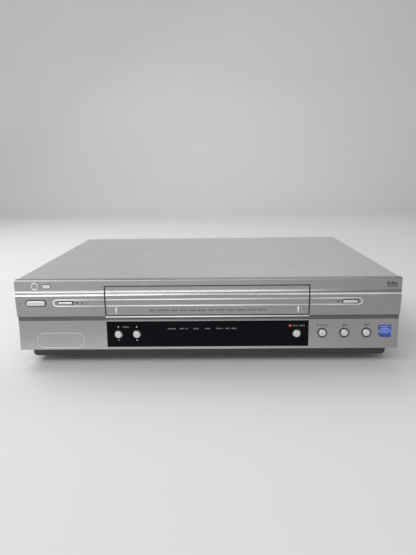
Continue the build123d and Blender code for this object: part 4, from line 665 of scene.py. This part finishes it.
PAINTED_SHADE_IN = 0.45
PAINTED_SHADE_OUT = 0.30
PAINTED_SHADE_THICK = 0.3
DOOR_SHADE_Z = (51.0, 79.8)
DOOR_SHADE_SIDE = 0.8
DOOR_SHADE_TOP = 0.4
DOOR_SHADE_FOOT = 0.6


def door_gap_painted_shade():
    """Painted shade: a dark plate in the gap round the door, clear of its swing."""
    low, high = DOOR_SHADE_Z
    half = OPENING_HALF
    outer = [(-half, low), (half, low), (half, high), (-half, high)]
    side, top, foot = half - DOOR_SHADE_SIDE, high - DOOR_SHADE_TOP, low + DOOR_SHADE_FOOT
    inner = [(-side, foot), (side, foot), (side, top), (-side, top)]
    print_rings(
        "door_gap_painted_shade", [(outer, inner)], door_shade_inset, FINISHES["black_plastic"],
        "chassis", PAINTED_SHADE_THICK,
    )
    # A painted shadow line along the top edge of the door's opening
    edge = bar(0, high + DOOR_SHADE_TOP / 2, 2 * half, DOOR_SHADE_TOP)
    print_marks(
        "door_edge_painted_shadow", [edge], upper_inset, FINISHES["black_plastic"], "chassis"
    )


def button_gap_painted_shade():
    """Painted shade: a dark ring round each button, clear of its cap."""
    for inset, nodes, name in (
        (mid_inset, ("power_button", "stop_eject_button", "play_button"), "painted_shade_long"),
        (lower_inset, ("pause_button", "rewind_button", "forward_button"), "painted_shade_round"),
    ):
        rings = []
        for node in nodes:
            low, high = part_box(node)
            x, z = middle(node)
            width = (high.x - low.x) / MM - 2 * FLANGE_OVER
            height = (high.z - low.z) / MM - 2 * FLANGE_OVER
            outer = stadium(x, z, width + 2 * PAINTED_SHADE_OUT, height + 2 * PAINTED_SHADE_OUT)
            inner = stadium(x, z, width - 2 * PAINTED_SHADE_IN, height - 2 * PAINTED_SHADE_IN)
            rings.append((outer, inner))
        print_rings(name, rings, inset, FINISHES["black_plastic"], "chassis")


def window_marks():
    """Every printed sign on the black window."""
    signs = []
    for node, towards in (("channel_down_button", "down"), ("channel_up_button", "up")):
        signs.append(arrow(*beside(node, CHANNEL_MARK), CHANNEL_ARROW, towards))
        signs.append(bar(*beside(node, CHANNEL_SIGN), *CHANNEL_STROKE))
    signs.append(bar(*beside("channel_up_button", CHANNEL_SIGN), *CHANNEL_STROKE[::-1]))
    print_marks("mark_channel", signs, window_inset, INK_PALE, "chassis")
    level = beside("channel_up_button", CHANNEL_MARK)[1]
    x, words = CHANNEL_LEGEND
    bars = glyph_row(x, words, level, WINDOW_GLYPH)
    x, z = beside("record_button", RECORD_LEGEND)
    bars += glyph_row(x, RECORD_WORDS, z, WINDOW_GLYPH)
    for x, words in WINDOW_LEGENDS:
        bars += glyph_row(x, words, WINDOW_LEGEND_Z, WINDOW_GLYPH)
    print_marks("mark_window_legends", bars, window_inset, INK_SOFT, "chassis")
    dot = disc(*beside("record_button", RECORD_DOT), RECORD_RADIUS)
    print_marks("mark_record", [dot], window_inset, INK_RED, "chassis")


def door_marks():
    """A faint row of small bars along the foot of the door."""
    x, words = DOOR_LEGEND
    bars = glyph_row(x, words, DOOR_LEGEND_Z, *DOOR_GLYPH)
    print_marks("mark_door", bars, mid_inset, INK_FAINT, "door")


# Marks on the back

JACK_RINGS = ((62.0, (0.72, 0.55, 0.03)), (77.0, (0.80, 0.80, 0.78)), (92.0, (0.62, 0.03, 0.02)))
JACK_ROWS = (38.0, 54.0)
JACK_RING = (7.0, 5.9)
SCREW_X = (-150.0, 0.0, 150.0)
SCREW_Z = 79.0
SCREW_CROSS = (1.7, 0.3)


def rear_marks():
    """Coloured rings round the sockets, and painted shade in the screws' cross recesses."""
    outer, inner = JACK_RING
    for index, (x, colour) in enumerate(JACK_RINGS):
        rings = [
            (disc(x, z, outer, ROUND_POINTS), disc(x, z, inner, ROUND_POINTS)) for z in JACK_ROWS
        ]
        ink = flat_ink(f"ink_jack_{index}", colour, 0.45)
        print_rings(f"jack_ring_{index}", rings, rear_inset, ink, "chassis")
    # Dark crosses: painted shade in the screws' recesses
    crosses = [cross(x, SCREW_Z, *SCREW_CROSS) for x in SCREW_X]
    print_marks(
        "screw_recess_painted_shade", crosses, screw_inset, FINISHES["black_plastic"], "chassis"
    )


# Half-round beads along the raised lines of the front

# Width of the solid's lines, and the width and height of the beads over them
LINE_W = 0.9
BEAD_W = 1.2
BEAD_H = 0.56

# Track line: half its length, its middle's height and its height across
TRACK = (144.7, 64.15, 7.0)

# Outline at the lower left: middle, width and height, and its bead
PANEL = (-140.2, 26.9, 45.9, 15.0)
PANEL_POINTS = 17
PANEL_BEAD = (0.9, 0.42)

# Ledge: half its length and its height, and its bead
LEDGE_EDGE = (95.6, 50.2)
LEDGE_BEAD = (1.1, 0.3)

# Ribs of the door: distance from the middle, height and length, and their bead
TICK = (85.3, 56.3, 6.2)
TICK_BEAD = (1.3, 0.8)

# The door's ears reach this far past its panel
EAR_REACH = 3.9
DOOR_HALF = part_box("cassette_door")[1].x / MM - EAR_REACH
OPENING_HALF = 96.0
TRACK_GAP = 0.3


def bead_profile(width, proud, steps=8):
    """The half-round section: how far across and how far out."""
    turns = [math.pi * step / steps for step in range(steps + 1)]
    return [(math.cos(a) * width / 2, math.sin(a) * proud) for a in turns]


def bead(name, path, closed, inset, body, width=BEAD_W, proud=BEAD_H, finish="painted_highlight_silver"):
    """A half-round bead that follows a path on a face of the front; its pale silver by default is
    a painted highlight.
    """
    bm = bmesh.new()
    rings = []
    last = len(path) - 1
    for index, (x, z) in enumerate(path):
        before = path[index - 1] if closed or index else path[0]
        after = path[(index + 1) % len(path)] if closed or index < last else path[last]
        run, rise = after[0] - before[0], after[1] - before[1]
        length = math.hypot(run, rise)
        ring = []
        for across, out in bead_profile(width, proud):
            px = x - rise / length * across
            pz = z + run / length * across
            ring.append(bm.verts.new((px * MM, (FRONT_Y + inset(pz) - out) * MM, pz * MM)))
        rings.append(ring)
    pairs = list(zip(rings, rings[1:])) + ([(rings[-1], rings[0])] if closed else [])
    count = len(rings[0])
    for first, second in pairs:
        for index in range(count):
            following = (index + 1) % count
            face = bm.faces.new((first[index], first[following], second[following], second[index]))
            face.smooth = following > 0
    if not closed:
        bm.faces.new(rings[0])
        bm.faces.new(rings[-1][::-1])
    link_piece(name, bm, FINISHES[finish], body)


def track_beads():
    """The long stadium-shaped line: both ends on the front, the middle on the door."""
    half, z, height = TRACK
    radius = (height - LINE_W) / 2
    turn_x = half - LINE_W / 2 - radius
    # Painted highlights: the left bead and the door's beads in the pale silver, the right bead in
    # a dimmer one, as the light falls from the left
    for side, name, finish in ((-1, "bead_left", "painted_highlight_silver"), (1, "bead_right", "soft_silver")):
        start = side * (OPENING_HALF + TRACK_GAP)
        curve = bend(side * turn_x, z, radius, 90, 90 - side * 180)
        path = [(start, z + radius)] + curve + [(start, z - radius)]
        bead(name, path, False, mid_inset, "chassis", finish=finish)
    for level, name in ((radius, "bead_door_upper"), (-radius, "bead_door_lower")):
        points = [(-DOOR_HALF, z + level), (DOOR_HALF, z + level)]
        bead(name, points, False, mid_inset, "door")


def ledge_bead():
    """The edge of the ledge under the door, bright with a painted highlight."""
    half, z = LEDGE_EDGE
    bead("bead_ledge", [(-half, z), (half, z)], False, ledge_inset, "chassis", *LEDGE_BEAD)


def door_ticks():
    """The two small upright ribs near the door's lower corners."""
    x, z, height = TICK
    for side, name in ((-1, "tick_left"), (1, "tick_right")):
        path = [(side * x, z - height / 2), (side * x, z + height / 2)]
        # Their pale silver is a painted highlight
        bead(name, path, False, mid_inset, "door", *TICK_BEAD)


def panel_bead():
    """The closed stadium-shaped line at the lower left."""
    x, z, width, height = PANEL
    radius = (height - LINE_W) / 2
    turn = (width - LINE_W) / 2 - radius
    path = bend(x + turn, z, radius, 90, -90, PANEL_POINTS)
    path += bend(x - turn, z, radius, 270, 90, PANEL_POINTS)
    # Its paler silver is a dimmer painted highlight
    bead("bead_panel", path, True, lower_inset, "chassis", *PANEL_BEAD, "soft_silver")


# The blue sticker

STICKER = (161.4, 173.4, 28.1, 40.1)
STICKER_CUT = 2.6
STICKER_THICK = 0.12
STICKER_BLUE = (0.012, 0.042, 0.26)
STICKER_ROUGHNESS = 0.3
BAND_THICK = 0.26
BAND_BAR = (9.2, 0.7)
BAND_DOWN = 1.6
ARC_RADII = (6.6, 4.6, 2.6)
ARC_LINE = 0.9
ARC_SPAN = (20, 160)
ARC_POINTS = 18
ARC_UP = 2.6


def sticker_material():
    """Blue printed film with a satin face."""
    material, tree, shader = new_material(
        "sticker_blue", STICKER_BLUE, STICKER_ROUGHNESS, coat=0.4
    )
    vary(tree, shader, STICKER_BLUE, STICKER_ROUGHNESS, cloud_mm=5, spread=0.12, uneven=0.06)
    add_bump(tree, shader, [(noise(tree, 3.0), 0.02)])
    return material


def sticker():
    """A small blue sticker with one cut corner, a pale bar and three plain arcs."""
    x0, x1, z0, z1 = STICKER
    outline = [(x0 + STICKER_CUT, z0), (x1, z0)]
    outline += [(x1, z1), (x0, z1), (x0, z0 + STICKER_CUT)]
    print_marks(
        "sticker_base", [outline], lower_inset, sticker_material(), "chassis",
        STICKER_THICK,
    )
    pale = flat_ink("sticker_pale", (0.20, 0.32, 0.72), 0.4)
    x = (x0 + x1) / 2
    bands = [bar(x, z1 - BAND_DOWN, *BAND_BAR)]
    for radius in ARC_RADII:
        bands.append(ring_sector(x, z0 + ARC_UP, radius, ARC_LINE, *ARC_SPAN, ARC_POINTS))
    print_marks("sticker_bands", bands, lower_inset, pale, "chassis", BAND_THICK)


front_marks()
window_marks()
door_marks()
rear_marks()
track_beads()
ledge_bead()
door_ticks()
panel_bead()
badge()
door_gap_painted_shade()
button_gap_painted_shade()
sticker()


# Studio, in metres

FLOOR_COLOUR = (0.76, 0.755, 0.75)
FLOOR_ROUGHNESS = 0.7
SWEEP_FRONT = -2.2
SWEEP_BACK = 1.4
SWEEP_RADIUS = 0.5
SWEEP_HEIGHT = 2.2
SWEEP_HALF = 3.0
SWEEP_STEPS = 14

# Lamps: name, place, the point it faces, width and height, watts
MACHINE_FRONT = (0, -0.13, 0.06)
LAMPS = (
    ("front_strip_left", (-1.0, -1.65, 1.7), MACHINE_FRONT, (2.2, 0.6), 24.5),
    ("front_strip_right", (0.6, -1.65, 1.7), MACHINE_FRONT, (1.0, 0.6), 5.5),
    ("front_panel", (-0.9, -3.0, 0.43), MACHINE_FRONT, (3.4, 0.8), 38),
    ("left_overhead", (-0.75, 0.35, 1.0), (0, 0.05, 0.05), (0.8, 0.8), 7.4),
    ("rear_fill", (0.2, 1.2, 1.3), (0, 0, 0.05), (0.9, 0.9), 4),
)
WORLD_STRENGTH = 0.22

# Camera, from the corners of the machine in the photograph: pixels, millimetres and degrees
IMAGE_LONG_SIDE = 555
FOCAL_PIXELS = 470.8
SENSOR = 36.0
CLIP_START = 0.01
CAMERA_PLACE = (10.14, -556.83, 185.76)
CAMERA_PITCH = 13.06
CAMERA_YAW = 1.188
CAMERA_ROLL = -0.752


def area_lamp(name, place, target, size, watts):
    """A soft rectangular lamp that faces a point."""
    data = bpy.data.lights.new(name, "AREA")
    data.shape = "RECTANGLE"
    data.size, data.size_y = size
    data.energy = watts
    lamp = bpy.data.objects.new(name, data)
    lamp.location = place
    direction = Vector(target) - lamp.location
    lamp.rotation_euler = direction.to_track_quat("-Z", "Y").to_euler()
    bpy.context.scene.collection.objects.link(lamp)


def floor_material():
    """A plain pale studio floor."""
    material, tree, shader = new_material("studio_floor", FLOOR_COLOUR, FLOOR_ROUGHNESS)
    vary(tree, shader, FLOOR_COLOUR, FLOOR_ROUGHNESS, cloud_mm=400, spread=0.01, uneven=0.03)
    return material


def studio_sweep():
    """A floor that curves up into a backdrop behind the machine."""
    profile = [(SWEEP_FRONT, 0.0), (SWEEP_BACK, 0.0)]
    for index in range(1, SWEEP_STEPS + 1):
        angle = math.pi / 2 * index / SWEEP_STEPS
        y = SWEEP_BACK + SWEEP_RADIUS * math.sin(angle)
        profile.append((y, SWEEP_RADIUS - SWEEP_RADIUS * math.cos(angle)))
    profile.append((SWEEP_BACK + SWEEP_RADIUS, SWEEP_HEIGHT))
    bm = bmesh.new()
    rows = [
        (bm.verts.new((-SWEEP_HALF, y, z)), bm.verts.new((SWEEP_HALF, y, z))) for y, z in profile
    ]
    for (a, b), (c, d) in zip(rows, rows[1:]):
        bm.faces.new((a, b, d, c))
    mesh = bpy.data.meshes.new("studio_sweep")
    bm.to_mesh(mesh)
    bm.free()
    for polygon in mesh.polygons:
        polygon.use_smooth = True
    sweep = bpy.data.objects.new("studio_sweep", mesh)
    bpy.context.scene.collection.objects.link(sweep)
    mesh.materials.append(floor_material())


def studio_lights():
    """Long soft lamps in front, one overhead at the left, one behind, and a dim world."""
    for lamp in LAMPS:
        area_lamp(*lamp)
    world = bpy.data.worlds.new("studio_world")
    world.use_nodes = True
    background = world.node_tree.nodes["Background"]
    background.inputs["Color"].default_value = (1, 1, 1, 1)
    background.inputs["Strength"].default_value = WORLD_STRENGTH
    bpy.context.scene.world = world


def studio_camera():
    """The camera at the photograph's place and angle."""
    data = bpy.data.cameras.new("camera")
    data.sensor_width = SENSOR
    data.lens = FOCAL_PIXELS / IMAGE_LONG_SIDE * SENSOR
    data.clip_start = CLIP_START
    camera = bpy.data.objects.new("camera", data)
    bpy.context.scene.collection.objects.link(camera)
    place = Matrix.Translation(Vector(CAMERA_PLACE) * MM)
    yaw = Matrix.Rotation(math.radians(CAMERA_YAW), 4, "Z")
    pitch = Matrix.Rotation(math.radians(90 - CAMERA_PITCH), 4, "X")
    roll = Matrix.Rotation(math.radians(CAMERA_ROLL), 4, "Z")
    camera.matrix_world = place @ yaw @ pitch @ roll
    bpy.context.scene.camera = camera


studio_sweep()
studio_lights()
studio_camera()
bpy.context.scene.view_settings.view_transform = "Standard"
